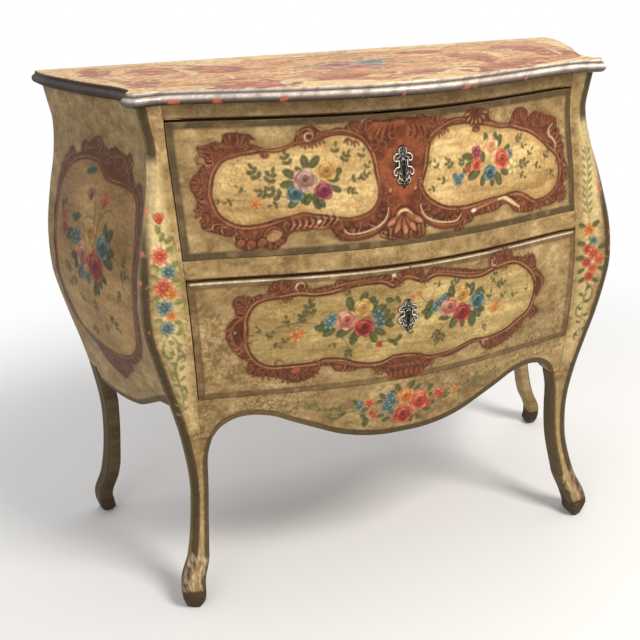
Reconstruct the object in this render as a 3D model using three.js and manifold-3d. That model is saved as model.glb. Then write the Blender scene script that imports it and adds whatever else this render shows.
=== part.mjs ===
// Bombe chest of two drawers, painted wood, with a serpentine front and four cabriole legs.
// Units are millimetres, +Z is up, the front looks towards -Y, and the origin is the middle
// of the footprint on the floor. "Forward" is measured from the back edge of the top.
import * as THREE from 'three';
import { mergeVertices } from 'three/addons/utils/BufferGeometryUtils.js';
import Module from 'manifold-3d';

const wasm = await Module();
wasm.setup();

// Overall sizes
const overallHeight = 840;

// Fits and cuts
const fitGap = 0.3;
const overrun = 20;

// Corner line: the outer arris of the front posts, from the foot to the top
const ankleHalfWidth = 353;
const sideSwell = 45;
const waistForward = 344;
const frontSwell = 46;
const sideSwellShares = [
  [0, 0.72], [0.012, 0.77], [0.03, 0.84], [0.055, 0.8], [0.1, 0.43], [0.176, 0.13], [0.268, 0],
  [0.364, 0.155], [0.43, 0.37], [0.5, 0.66], [0.5875, 0.97], [0.63, 1], [0.7, 0.88],
  [0.777, 0.575], [0.842, 0.26], [0.905, 0.11], [0.943, 0.19], [1, 0.33],
];
const frontSwellShares = [
  [0, 0.93], [0.012, 1.02], [0.03, 1.05], [0.055, 0.82], [0.1, 0.59], [0.176, 0.28], [0.221, 0.25],
  [0.315, 0.36], [0.43, 0.717], [0.5, 0.9], [0.56, 0.975], [0.617, 1], [0.679, 0.913],
  [0.745, 0.674], [0.801, 0.478], [0.842, 0.28], [0.888, 0.065], [0.926, 0], [1, 0.15],
];

// Serpentine front: how far the middle bows out from the corner line, by height
const frontBow = 80;
const bowSharpness = 1.2;
const bowShares = [
  [0.333, 0.69], [0.446, 0.65], [0.619, 0.67], [0.681, 0.72], [0.718, 0.73], [0.786, 0.8],
  [0.857, 0.925], [0.949, 0.99], [1, 0.97],
];

// Turned corner: a narrow face between the stile and the side
const cantWidth = 12;
const cantRise = 5;

// Sides: they spread from the front posts to the back posts, with a cove behind the front arris
const caseBackForward = 8;
const sideSplay = 108;
const sidePlanShares = [
  [0, 0], [0.3, 0.29], [0.56, 0.6], [0.72, 0.82], [0.85, 0.985], [0.93, 1.03], [1, 1],
];

// Top
const topThickness = 20;
const topCornerOverhang = 19;
const topEdgeSetback = 8;
const topCornerRun = 13;
const topCornerRise = 22;
const topCornerFlare = 10;
const topBackOverhang = 14;
const topFrontOverhang = 16;
const topFrontBow = 86;
const topBowSharpness = 1.3;
const topSideShares = [
  [0, 0], [0.17, 0.115], [0.33, 0.3], [0.48, 0.5], [0.57, 0.62], [0.71, 0.85], [0.78, 0.965],
  [0.88, 1.07], [0.94, 1.075], [1, 1],
];
const topMouldingShares = [
  [1, 0], [0.84, 0.08], [0.75, 0.27], [0.4, 0.33], [0, 0.54], [0.08, 0.75], [0.5, 0.92], [1, 1],
];

// Posts and legs
const stileLeastWidth = 25;
const frontPostDepth = 44;
const backPostDepth = 37;
const legThickness = 31;
const legCornerCut = 5;
const legOuterCut = 12;
const legDepth = 30;
const backLegMostWidth = 33;
const shoulderDrop = 75;
const sideShoulderDrop = 30;
const legWidthShares = [
  [0, 0.78], [0.012, 1.05], [0.03, 1.25], [0.055, 1.31], [0.08, 1.25], [0.12, 1.08], [0.17, 1],
  [0.24, 1], [0.29, 1.08], [0.32, 1.24], [0.357, 1.64],
];
const toeTurn = 4;
const stepRise = 1;
const caseCornerCut = 3;

// Rails between the posts
const topRailThickness = 21;
const dividerThickness = 28;
const upperOpeningHeight = 197;
const lowerOpeningHeight = 199;
const apronThickness = 42;
const apronDepthShares = [
  [0, 1], [0.11, 0.995], [0.22, 0.95], [0.335, 0.855], [0.445, 0.705], [0.565, 0.535],
  [0.64, 0.42], [0.716, 0.364], [0.762, 0.354], [0.81, 0.374], [0.854, 0.427], [0.9, 0.53],
  [0.927, 0.635], [0.945, 0.73], [1, 0.9],
];
const apronDrop = 103;
const tenonLength = 18;
const tenonDepth = 15;
const tenonShoulder = 5;
const tenonSetback = 8;

// Side panels
const sideThickness = 18;
const sideApronDrop = 83;
const sideApronShares = [
  [0, 1], [0.2, 0.99], [0.33, 0.975], [0.45, 0.92], [0.57, 0.82], [0.72, 0.555], [0.81, 0.385],
  [0.91, 0.22], [0.97, 0.15], [1, 0.145],
];

// Back
const backBoardThickness = 10;
const backRebate = 8;
const backBoardCount = 3;
const backRailDepth = 22;
const backRailHeight = 25;
const backBottomRailHeight = 57;

// Drawer runs
const runnerWidth = 39;
const runnerThickness = 20;
const guideWidth = 20;
const guideRise = 15;
const dustBoardThickness = 7;
const dustBoardGroove = 6;
const glueBlockLength = 60;
const glueBlockWidth = 24;
const glueBlockHeight = 24;
const glueBlockPlaceShares = [0.25, 0.72];
const stopWidth = 30;
const stopLength = 14;
const stopHeight = 6;
const stopHalfSpacing = 150;

// Drawers
const drawerSideClearance = 1.5;
const drawerTopGap = 4;
const drawerBottomGap = 1;
const drawerFrontThickness = 22;
const drawerSideThickness = 12;
const drawerSideInset = 2.5;
const drawerSideDrop = 6;
const drawerBackThickness = 11;
const drawerRearForward = 46;
const drawerBackSetback = 6;
const drawerBackHousing = 4;
const drawerBackDrop = 4;
const drawerBottomThickness = 7;
const drawerBottomRise = 12;
const drawerBottomGroove = 5;
const tailCount = 4;
const tailLength = 13;
const tailRootShare = 0.52;
const tailFlare = 3;
const stopGap = 1;

// Locks and escutcheons
const lockWidth = 70;
const lockHeight = 104;
const lockDepth = 16;
const lockInset = 9;
const boltWidth = 24;
const boltThickness = 7;
const boltHeight = 40;
const boltThrow = 12;
const boltSetback = 4;
const lockTopDrop = 2;
const boltHoleClearance = 1;
const keyholeRadius = 3.2;
const keyholeSlotWidth = 3.4;
const keyholeSlotHeight = 11;
const keyholeLockDepth = 4;
const upperKeyDrop = 78;
const lowerKeyDrop = 81;
const escutcheonThickness = 2.2;
const upperEscutcheonWidth = 27;
const upperEscutcheonHeight = 56;
const lowerEscutcheonWidth = 29;
const lowerEscutcheonHeight = 49;
const escutcheonHalfShares = [
  [0, 0.5], [0.16, 0.46], [0.22, 0.38], [0.14, 0.31], [0.3, 0.33], [0.46, 0.25], [0.42, 0.14],
  [0.27, 0.1], [0.4, 0.02], [0.5, -0.09], [0.44, -0.2], [0.27, -0.22], [0.33, -0.32],
  [0.2, -0.4], [0.08, -0.42], [0, -0.5],
];
const escutcheonPiercingShares = [[0.29, 0.22, 0.05], [0.33, -0.09, 0.07], [0.15, -0.31, 0.04]];

// Smoothness of the shaped pieces
const bowSteps = 24;
const drawerRows = 8;
const apronSteps = 34;
const apronRows = 3;
const legRings = 18;
const caseRings = 15;
const sideSteps = 9;
const sideRows = 16;
const topFrontSteps = 30;
const topSideSteps = 14;
const sideInnerRows = 7;
const escutcheonOutlineSteps = 44;
const piercingSides = 7;
const keyholeSides = 12;

// Sizes that follow
const topUnderside = overallHeight - topThickness;
const caseTop = topUnderside - fitGap;
const topRailUnderside = caseTop - topRailThickness;
const upperSillHeight = topRailUnderside - upperOpeningHeight;
const dividerUnderside = upperSillHeight - dividerThickness;
const lowerSillHeight = dividerUnderside - lowerOpeningHeight;
const shoulderHeight = lowerSillHeight - shoulderDrop;
const sideShoulderHeight = lowerSillHeight - sideShoulderDrop;
const postInnerHalfWidth = ankleHalfWidth - stileLeastWidth;
const frontPostBackForward = waistForward - frontPostDepth;
const backPostFrontForward = caseBackForward + backPostDepth;
const backPostInnerHalfWidth = ankleHalfWidth + sideSplay - legThickness;
const drawerHalfWidth = postInnerHalfWidth - drawerSideClearance;
const bowHalfWidth = drawerHalfWidth;
const drawerSideOuter = drawerHalfWidth - drawerSideInset;
const drawerSideInner = drawerSideOuter - drawerSideThickness;
const backBottom = lowerSillHeight - backBottomRailHeight;
const backRailForward = caseBackForward + backBoardThickness + fitGap;
const backRailFront = backRailForward + backRailDepth;
const runnerOuter = postInnerHalfWidth - drawerSideClearance;
const runnerInner = runnerOuter - runnerWidth;
const topFrontEndForward = cornerForward(caseTop) + topFrontOverhang;
const topBackHalfWidth = cornerX(caseTop) + sideSplay + topBackOverhang;
const overallDepth = topFrontEndForward + topFrontBow;
const backPlane = overallDepth / 2;

// Height and forward reach of the corner line at a height
function cornerX(z) {
  return ankleHalfWidth + sideSwell * smooth(sideSwellShares, z / overallHeight);
}

function cornerForward(z) {
  return waistForward + frontSwell * smooth(frontSwellShares, z / overallHeight);
}

// Forward reach of the front surface at a place across the chest and a height
function frontForward(x, z) {
  const across = Math.abs(x);
  if (across < bowHalfWidth) {
    const bow = frontBow * smooth(bowShares, z / overallHeight);
    const wave = Math.cos((Math.PI / 2) * (across / bowHalfWidth));
    return cornerForward(z) + bow * Math.pow(wave, bowSharpness);
  }
  const flareWidth = cornerX(z) - cantWidth - bowHalfWidth;
  const flare = THREE.MathUtils.smoothstep((across - bowHalfWidth) / flareWidth, 0, 1);
  return cornerForward(z) + cantRise * flare;
}

// Half-width of the case at a forward place and a height
function sideX(forward, z) {
  const reach = (forward - caseBackForward) / (cornerForward(z) - caseBackForward);
  return cornerX(z) + sideSplay * (1 - smooth(sidePlanShares, reach));
}

// Lower edge of the front apron at a place across the chest
function apronEdge(x) {
  return lowerSillHeight - apronDrop * smooth(apronDepthShares, Math.abs(x) / postInnerHalfWidth);
}

// Lower edge of the side apron at a forward place
function sideApronEdge(forward) {
  const reach = (forward - backPostFrontForward) / (sideArchForward - backPostFrontForward);
  return lowerSillHeight - sideApronDrop * smooth(sideApronShares, reach);
}

const sideArchForward = cornerForward(sideShoulderHeight) - legDepth;

// Value of the smooth line through [place, value] pairs
function smooth(shares, at) {
  const last = shares.length - 1;
  let i = 1;
  while (i < last && at > shares[i][0]) {
    i += 1;
  }
  const [x0, y0] = shares[i - 1];
  const [x1, y1] = shares[i];
  const run = x1 - x0;
  const t = THREE.MathUtils.clamp((at - x0) / run, 0, 1);
  const rise0 = slopeAt(shares, i - 1) * run;
  const rise1 = slopeAt(shares, i) * run;
  const t2 = t * t;
  const t3 = t2 * t;
  return (2 * t3 - 3 * t2 + 1) * y0 + (t3 - 2 * t2 + t) * rise0
    + (3 * t2 - 2 * t3) * y1 + (t3 - t2) * rise1;
}

function slopeAt(shares, i) {
  const before = shares[Math.max(i - 1, 0)];
  const after = shares[Math.min(i + 1, shares.length - 1)];
  return (after[1] - before[1]) / (after[0] - before[0]);
}

// Evenly spaced numbers from the first to the last
function spread(first, last, steps) {
  return Array.from({ length: steps + 1 }, (_, i) => first + ((last - first) * i) / steps);
}

function place(x, forward, z) {
  return [x, backPlane - forward, z];
}

// Closed body through a row of rings; the two ends are flat in the plane of axes u and v
function loft(rings, u, v) {
  const count = rings[0].length;
  const index = [];
  for (let r = 0; r < rings.length - 1; r += 1) {
    for (let i = 0; i < count; i += 1) {
      const a = r * count + i;
      const b = r * count + ((i + 1) % count);
      index.push(a, b, b + count, a, b + count, a + count);
    }
  }
  index.push(...cap(rings[0], 0, u, v, false));
  index.push(...cap(rings[rings.length - 1], (rings.length - 1) * count, u, v, true));
  const geometry = new THREE.BufferGeometry();
  geometry.setAttribute('position', new THREE.Float32BufferAttribute(rings.flat(2), 3));
  geometry.setIndex(index);
  return facingOut(geometry);
}

function cap(ring, offset, u, v, alongRing) {
  const outline = ring.map((point) => new THREE.Vector2(point[u], point[v]));
  const ringTurn = Math.sign(THREE.ShapeUtils.area(outline));
  const triangles = THREE.ShapeUtils.triangulateShape(outline, []);
  return triangles.flatMap(([a, b, c]) => {
    const turn = Math.sign(THREE.ShapeUtils.area([outline[a], outline[b], outline[c]]));
    const keep = (turn === ringTurn) === alongRing;
    return (keep ? [a, b, c] : [a, c, b]).map((i) => i + offset);
  });
}

function facingOut(geometry) {
  const { array } = geometry.attributes.position;
  const index = geometry.index.array;
  const corner = (i) => new THREE.Vector3().fromArray(array, index[i] * 3);
  let volume = 0;
  for (let i = 0; i < index.length; i += 3) {
    volume += corner(i).dot(corner(i + 1).cross(corner(i + 2)));
  }
  return volume < 0 ? flipped(geometry) : geometry;
}

function flipped(geometry) {
  const index = Array.from(geometry.index.array);
  for (let i = 0; i < index.length; i += 3) {
    [index[i + 1], index[i + 2]] = [index[i + 2], index[i + 1]];
  }
  geometry.setIndex(index);
  return geometry;
}

// Copy for the other side of the chest
function mirrored(geometry) {
  return flipped(geometry.clone().scale(-1, 1, 1));
}

function block(x0, x1, forward0, forward1, z0, z1) {
  const geometry = new THREE.BoxGeometry(x1 - x0, forward1 - forward0, z1 - z0);
  return geometry.translate((x0 + x1) / 2, backPlane - (forward0 + forward1) / 2, (z0 + z1) / 2);
}

// Flat board of an outline in forward and height, as thick as it runs across the chest
function uprightBoard(outline, x0, x1) {
  return loft([x0, x1].map((x) => outline.map(([forward, z]) => place(x, forward, z))), 1, 2);
}

// Flat board of an outline across and forward, lying level
function levelBoard(outline, z0, z1) {
  return loft([z0, z1].map((z) => outline.map(([x, forward]) => place(x, forward, z))), 0, 1);
}

function toSolid(geometry) {
  const bare = geometry.clone();
  bare.deleteAttribute('normal');
  bare.deleteAttribute('uv');
  const merged = mergeVertices(bare);
  const vertProperties = new Float32Array(merged.attributes.position.array);
  const triVerts = new Uint32Array(merged.index.array);
  return new wasm.Manifold(new wasm.Mesh({ numProp: 3, vertProperties, triVerts }));
}

function toGeometry(solid) {
  const mesh = solid.getMesh();
  const geometry = new THREE.BufferGeometry();
  geometry.setAttribute('position', new THREE.Float32BufferAttribute(mesh.vertProperties, 3));
  geometry.setIndex(Array.from(mesh.triVerts));
  return geometry;
}

function joined(geometry, others) {
  return toGeometry(others.reduce((solid, other) => solid.add(toSolid(other)), toSolid(geometry)));
}

function cut(geometry, cutters) {
  const start = toSolid(geometry);
  return toGeometry(cutters.reduce((solid, cutter) => solid.subtract(toSolid(cutter)), start));
}

// Materials
function paintedWood() {
  return new THREE.MeshStandardMaterial({ color: 0xb49a62, roughness: 0.5, metalness: 0 });
}

function paintedTop() {
  return new THREE.MeshStandardMaterial({ color: 0xd8b27a, roughness: 0.35, metalness: 0 });
}

function bareWood() {
  return new THREE.MeshStandardMaterial({ color: 0x9a7750, roughness: 0.75, metalness: 0 });
}

function oldBrass() {
  return new THREE.MeshStandardMaterial({ color: 0x5c5340, roughness: 0.4, metalness: 0.9 });
}

function lockIron() {
  return new THREE.MeshStandardMaterial({ color: 0x4b4844, roughness: 0.5, metalness: 0.8 });
}

const chest = new THREE.Group();

function addPiece(name, geometry, material) {
  const mesh = new THREE.Mesh(geometry, material);
  mesh.name = name;
  chest.add(mesh);
}

// Piece for each side of the chest, made once and mirrored
function addPair(name, geometry, makeMaterial) {
  addPiece(`right_${name}`, geometry, makeMaterial());
  addPiece(`left_${name}`, mirrored(geometry), makeMaterial());
}

// Top: a serpentine slab with a moulded edge, straight along the back
const topCornerHalfWidth = cornerX(caseTop) + topCornerOverhang;
const topCornerForward = topFrontEndForward + topCornerFlare - topCornerRise;

function topFront(x) {
  const across = Math.abs(x);
  const wave = Math.cos((Math.PI / 2) * Math.min(across / bowHalfWidth, 1));
  const flareWidth = topCornerHalfWidth - topCornerRun - bowHalfWidth;
  const flare = THREE.MathUtils.smoothstep((across - bowHalfWidth) / flareWidth, 0, 1);
  return topFrontEndForward + topFrontBow * Math.pow(wave, topBowSharpness) + topCornerFlare * flare;
}

function topOutline() {
  const sideRun = topBackHalfWidth - topCornerHalfWidth;
  const side = spread(0, 1, topSideSteps).map((share) => [
    topBackHalfWidth - sideRun * smooth(topSideShares, share),
    topCornerForward * share,
  ]);
  const frontHalf = topCornerHalfWidth - topCornerRun;
  const front = spread(frontHalf, -frontHalf, topFrontSteps).map((x) => [x, topFront(x)]);
  const otherSide = side.map(([x, forward]) => [-x, forward]).reverse();
  return [...side, ...front, ...otherSide];
}

// Outline drawn in square to its own edges; its straight back stays where it is
function drawnIn(outline, distance) {
  return outline.map(([x, forward], i) => {
    const [x0, forward0] = outline[Math.max(i - 1, 0)];
    const [x1, forward1] = outline[Math.min(i + 1, outline.length - 1)];
    const along = new THREE.Vector2(x1 - x0, forward1 - forward0).normalize();
    const moved = i === 0 || i === outline.length - 1 ? 0 : forward + along.x * distance;
    return [x - along.y * distance, Math.max(moved, 0)];
  });
}

function makeTop() {
  const outline = topOutline();
  const rings = topMouldingShares.map(([inShare, downShare]) => {
    const z = overallHeight - topThickness * downShare;
    return drawnIn(outline, topEdgeSetback * inShare).map(([x, forward]) => place(x, forward, z));
  });
  return loft(rings, 0, 1);
}

addPiece('top', makeTop(), paintedTop());

// Front posts: stile, turned corner and cabriole leg sawn from one piece of wood
function legWidth(z) {
  return legThickness * smooth(legWidthShares, Math.min(z, shoulderHeight) / overallHeight);
}

const kneeHalfWidth = cornerX(shoulderHeight) - legWidth(shoulderHeight);

function frontPostRing(z, back, isLeg) {
  const x = cornerX(z);
  const forward = cornerForward(z);
  const inner = z < shoulderHeight ? x - legWidth(z) : kneeHalfWidth;
  const toe = toeTurn + cantRise;
  const turnedOut = toe * (1 - Math.min(z / shoulderHeight, 1));
  const face = (across) => frontForward(across, z) + turnedOut * (1 - (across - inner) / (x - inner));
  const seam = isLeg && z < shoulderHeight ? inner + (x - inner) / 3 : postInnerHalfWidth;
  const middle = (x - cantWidth + seam) / 2;
  const turn = legCornerCut;
  const sideTurn = isLeg ? legOuterCut : 0;
  const backMiddle = isLeg ? sideX(back, z) - sideTurn : (sideX(back, z) + postInnerHalfWidth) / 2;
  const sideMiddle = (forward + back + sideTurn) / 2;
  return [
    place(x, forward, z),
    place(x - cantWidth, forward + cantRise, z),
    place(middle, face(middle), z),
    place(seam, face(seam), z),
    place(inner + turn, face(inner + turn), z),
    place(inner, face(inner) - turn, z),
    place(inner, back + turn, z),
    place(inner + turn, back, z),
    place(backMiddle, back, z),
    place(sideX(back + sideTurn, z), back + sideTurn, z),
    place(sideX(sideMiddle, z), sideMiddle, z),
  ];
}

// Space for a tenon, in the piece that takes it
function mortise({ x0, x1, forward0, forward1, z0, z1 }) {
  return block(x0 - overrun, x1 + fitGap, forward0 - fitGap, forward1 + fitGap, z0 - fitGap, z1 + fitGap);
}

function tenon({ x0, x1, forward0, forward1, z0, z1 }) {
  return block(x0 - overrun, x1, forward0, forward1, z0, z1);
}

function frontTenon(z0, z1, forward1) {
  return {
    x0: postInnerHalfWidth,
    x1: postInnerHalfWidth + tenonLength,
    forward0: forward1 - tenonDepth,
    forward1,
    z0: z0 + tenonShoulder,
    z1: z1 - tenonShoulder,
  };
}

const railTenonForward = frontPostBackForward + tenonDepth + tenonSetback;
const topRailTenon = frontTenon(topRailUnderside, caseTop, railTenonForward);
const dividerTenon = frontTenon(dividerUnderside, upperSillHeight, railTenonForward);
const apronTenonForward = cornerForward(shoulderHeight) - tenonSetback;
const apronTenon = frontTenon(shoulderHeight + tenonShoulder, lowerSillHeight, apronTenonForward);

// Waste under the lower edge of the side, from the panel to the back of the front leg
function sideArchWaste() {
  const start = frontPostBackForward - fitGap;
  const bottom = sideShoulderHeight - fitGap;
  const outline = spread(start, sideArchForward, sideSteps).map((forward) => {
    return [forward, Math.max(sideApronEdge(forward), sideShoulderHeight)];
  });
  outline.push([sideArchForward, bottom], [start, bottom]);
  return uprightBoard(outline, postInnerHalfWidth - overrun, cornerX(sideShoulderHeight) + overrun);
}

function makeFrontPost() {
  const leg = spread(0, sideShoulderHeight, legRings).map((z) => {
    const toeDepth = Math.min(legWidth(z), legDepth);
    return frontPostRing(z, cornerForward(z) - toeDepth, true);
  });
  const stile = spread(sideShoulderHeight + stepRise, caseTop, caseRings).map((z) => {
    return frontPostRing(z, frontPostBackForward, false);
  });
  const seat = block(-overrun, postInnerHalfWidth, 0, overallDepth, shoulderHeight, overallHeight);
  const holes = [topRailTenon, dividerTenon, apronTenon].map(mortise);
  return cut(loft([...leg, ...stile], 0, 1), [seat, sideArchWaste(), ...holes]);
}

addPair('front_post', makeFrontPost(), paintedWood);

// Back posts: the same leg and swell, flat against the wall, with a rebate for the back boards
function backPostRing(z) {
  const outer = (forward) => sideX(forward, z);
  const width = Math.min(legWidth(z), backLegMostWidth);
  const isLeg = z < backBottom;
  const inner = isLeg ? outer(caseBackForward) - width : backPostInnerHalfWidth;
  const front = isLeg ? caseBackForward + width : backPostFrontForward;
  const turn = isLeg ? legCornerCut : 0;
  const frontMiddle = isLeg ? outer(front) - turn : (outer(front) + inner) / 2;
  const sideMiddle = (front + caseBackForward) / 2;
  const small = caseCornerCut;
  return [
    place(outer(caseBackForward + small), caseBackForward + small, z),
    place(outer(sideMiddle), sideMiddle, z),
    place(outer(front - turn), front - turn, z),
    place(frontMiddle, front, z),
    place(inner + small, front, z),
    place(inner, front - small, z),
    place(inner, caseBackForward + small, z),
    place(inner + small, caseBackForward, z),
    place(outer(caseBackForward) - small, caseBackForward, z),
  ];
}

function backTenon(z0, z1) {
  return {
    x0: backPostInnerHalfWidth,
    x1: backPostInnerHalfWidth + tenonLength,
    forward0: backRailForward + tenonShoulder,
    forward1: backRailFront - tenonShoulder,
    z0: z0 + tenonShoulder,
    z1: z1 - tenonShoulder,
  };
}

const backTopTenon = backTenon(caseTop - backRailHeight, caseTop);
const backMiddleTenon = backTenon(upperSillHeight - backRailHeight, upperSillHeight);
const backBottomTenon = backTenon(backBottom, lowerSillHeight);

function makeBackPost() {
  const leg = spread(0, backBottom - stepRise, legRings).map(backPostRing);
  const stile = spread(backBottom, caseTop, caseRings + 1).map(backPostRing);
  const rebateEnd = backPostInnerHalfWidth + backRebate + fitGap;
  const rebateForward = backRailForward;
  const rebate = block(0, rebateEnd, -overrun, rebateForward, backBottom - fitGap, overallHeight);
  const holes = [backTopTenon, backMiddleTenon, backBottomTenon].map(mortise);
  return cut(loft([...leg, ...stile], 0, 1), [rebate, ...holes]);
}

addPair('back_post', makeBackPost(), paintedWood);

// Side panels: swelling boards between the posts, with a shaped lower edge
function makeSidePanel() {
  const stations = spread(backPostFrontForward + fitGap, frontPostBackForward - fitGap, sideSteps);
  const rings = stations.map((forward) => {
    const edge = sideApronEdge(forward);
    const outside = spread(edge, caseTop, sideRows);
    const inside = spread(caseTop, edge, sideInnerRows);
    return [
      ...outside.map((z) => place(sideX(forward, z), forward, z)),
      ...inside.map((z) => place(sideX(forward, z) - sideThickness, forward, z)),
    ];
  });
  return loft(rings, 0, 2);
}

addPair('side_panel', makeSidePanel(), paintedWood);

// Front rails: bowed boards tenoned into the posts, the upper two wide enough to carry the runs
function bothEnds(spec) {
  const right = tenon(spec);
  return [right, mirrored(right)];
}

const railHalfWidth = postInnerHalfWidth - fitGap;
const bowStations = spread(-railHalfWidth, railHalfWidth, bowSteps);

function makeRail(z0, z1, spec, boltHole) {
  const rings = bowStations.map((x) => [
    ...[z0, (z0 + z1) / 2, z1].map((z) => place(x, frontForward(x, z), z)),
    place(x, frontPostBackForward, z1),
    place(x, frontPostBackForward, z0),
  ]);
  return cut(joined(loft(rings, 1, 2), bothEnds(spec)), [boltHole]);
}

// Front apron: the shaped bottom rail, seated on the knees of the legs
function makeApron() {
  const turns = spread(-Math.PI / 2, Math.PI / 2, apronSteps);
  const rings = turns.map((turn) => {
    const x = railHalfWidth * Math.sin(turn);
    const seat = Math.abs(x) < kneeHalfWidth ? 0 : shoulderHeight + fitGap;
    const edge = Math.max(apronEdge(x), seat);
    const outside = spread(edge, lowerSillHeight, apronRows);
    const inside = spread(lowerSillHeight, edge, apronRows);
    return [
      ...outside.map((z) => place(x, frontForward(x, z), z)),
      ...inside.map((z) => place(x, frontForward(x, z) - apronThickness, z)),
    ];
  });
  return joined(loft(rings, 1, 2), bothEnds(apronTenon));
}

// Drawer: its heights, from the rail below and the rail above
function drawerSizes(sill, railAbove, keyDrop) {
  const top = railAbove - drawerTopGap;
  const keyHeight = top - keyDrop;
  const lockFront = frontForward(0, keyHeight) - drawerFrontThickness + lockInset;
  return {
    keyHeight,
    bottom: sill + drawerBottomGap,
    top,
    sideBottom: sill + fitGap,
    sideTop: top - drawerSideDrop,
    boardBottom: sill + drawerBottomRise,
    boardTop: sill + drawerBottomRise + drawerBottomThickness,
    lockFront,
    lockBack: lockFront - lockDepth,
    lockTop: top - lockTopDrop,
    lockBottom: top - lockTopDrop - lockHeight,
  };
}

const upperDrawer = drawerSizes(upperSillHeight, topRailUnderside, upperKeyDrop);
const lowerDrawer = drawerSizes(lowerSillHeight, dividerUnderside, lowerKeyDrop);

function bolt(drawer, clearance, lift) {
  const back = drawer.lockBack + boltSetback;
  return block(
    -boltWidth / 2 - clearance,
    boltWidth / 2 + clearance,
    back - clearance,
    back + boltThickness + clearance,
    drawer.lockTop - boltHeight - clearance,
    drawer.lockTop + lift,
  );
}

const topRailHole = bolt(upperDrawer, boltHoleClearance, boltThrow + boltHoleClearance);
const dividerHole = bolt(lowerDrawer, boltHoleClearance, boltThrow + boltHoleClearance);

addPiece('front_top_rail', makeRail(topRailUnderside, caseTop, topRailTenon, topRailHole), paintedWood());
addPiece('drawer_divider', makeRail(dividerUnderside, upperSillHeight, dividerTenon, dividerHole), paintedWood());
addPiece('front_apron', makeApron(), paintedWood());

// Back: three rails between the posts, and boards nailed over them in the rebate
function makeBackRail(z0, z1, spec) {
  const half = backPostInnerHalfWidth - fitGap;
  return joined(block(-half, half, backRailForward, backRailFront, z0, z1), bothEnds(spec));
}

addPiece('back_top_rail', makeBackRail(caseTop - backRailHeight, caseTop, backTopTenon), bareWood());
addPiece('back_middle_rail', makeBackRail(upperSillHeight - backRailHeight, upperSillHeight, backMiddleTenon), bareWood());
addPiece('back_bottom_rail', makeBackRail(backBottom, lowerSillHeight, backBottomTenon), bareWood());

const backBoardsWidth = 2 * (backPostInnerHalfWidth + backRebate);
const backBoardPitch = backBoardsWidth / backBoardCount;
for (let i = 0; i < backBoardCount; i += 1) {
  const start = -backBoardsWidth / 2 + i * backBoardPitch;
  const forward1 = caseBackForward + backBoardThickness;
  const end = start + backBoardPitch - fitGap;
  addPiece(`back_board_${i + 1}`, block(start, end, caseBackForward, forward1, backBottom, caseTop), bareWood());
}

// Drawer runs: runners, guides beside them, kickers above, and a dust board between the drawers
const runBack = backRailFront + fitGap;
const runFront = frontPostBackForward - fitGap;

function dustBoard(clearance) {
  const half = runnerInner + dustBoardGroove - fitGap + clearance;
  const middle = upperSillHeight - runnerThickness / 2;
  const rise = dustBoardThickness / 2 + clearance;
  return block(-half, half, runBack - clearance, runFront + clearance, middle - rise, middle + rise);
}

function makeRunner(sill, front) {
  return block(runnerInner, runnerOuter, runBack, front, sill - runnerThickness, sill);
}

function makeGuide(sill) {
  const inner = runnerOuter + fitGap;
  return block(inner, inner + guideWidth, runBack, runFront, sill - runnerThickness, sill + guideRise);
}

const lowerRunnerFront = cornerForward(lowerSillHeight - runnerThickness) - apronThickness - fitGap;
addPair('upper_runner', cut(makeRunner(upperSillHeight, runFront), [dustBoard(fitGap)]), bareWood);
addPair('lower_runner', makeRunner(lowerSillHeight, lowerRunnerFront), bareWood);
addPair('upper_guide', makeGuide(upperSillHeight), bareWood);
addPair('lower_guide', makeGuide(lowerSillHeight), bareWood);
addPair('kicker', block(runnerInner, runnerOuter, runBack, runFront, topRailUnderside, caseTop), bareWood);
addPiece('dust_board', dustBoard(0), bareWood());

// Glue blocks in the corner of the top and the sides
['back', 'front'].forEach((where, i) => {
  const run = frontPostBackForward - backPostFrontForward;
  const start = backPostFrontForward + run * glueBlockPlaceShares[i] - glueBlockLength / 2;
  const end = start + glueBlockLength;
  const low = caseTop - glueBlockHeight;
  const walls = [start, end].flatMap((forward) => [sideX(forward, low), sideX(forward, caseTop)]);
  const outer = Math.min(...walls) - sideThickness - fitGap;
  addPair(`${where}_glue_block`, block(outer - glueBlockWidth, outer, start, end, low, caseTop), bareWood);
});

// Drawer stops, glued on the rail behind each drawer front
function makeStop(sill) {
  const x0 = stopHalfSpacing - stopWidth / 2;
  const x1 = stopHalfSpacing + stopWidth / 2;
  const reaches = [sill, sill + stopHeight].map((z) => frontForward(x1, z));
  const end = Math.min(...reaches) - drawerFrontThickness - stopGap;
  return block(x0, x1, end - stopLength, end, sill + fitGap, sill + stopHeight);
}

addPair('upper_stop', makeStop(upperSillHeight), bareWood);
addPair('lower_stop', makeStop(lowerSillHeight), bareWood);

// Drawer fronts: bowed and swelling boards, dovetailed to the sides and cut for the lock
function keyhole(drawer) {
  const reach = overallDepth;
  const barrel = new THREE.CylinderGeometry(keyholeRadius, keyholeRadius, reach, keyholeSides);
  const start = drawer.lockFront - keyholeLockDepth;
  barrel.translate(0, backPlane - start - reach / 2, drawer.keyHeight);
  const slotHalf = keyholeSlotWidth / 2;
  const slotEnd = drawer.keyHeight - keyholeSlotHeight;
  return joined(barrel, [block(-slotHalf, slotHalf, start, start + reach, slotEnd, drawer.keyHeight)]);
}

function boardOutline(drawer, clearance) {
  const half = drawerSideInner + drawerBottomGroove - fitGap + clearance;
  const inGroove = drawerBottomGroove - fitGap + clearance - drawerFrontThickness;
  const front = spread(half, -half, bowSteps).map((x) => [x, frontForward(x, drawer.boardBottom) + inGroove]);
  return [[-half, drawerRearForward - clearance], [half, drawerRearForward - clearance], ...front];
}

function drawerBoard(drawer, clearance) {
  const outline = boardOutline(drawer, clearance);
  return levelBoard(outline, drawer.boardBottom - clearance, drawer.boardTop + clearance);
}

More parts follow.
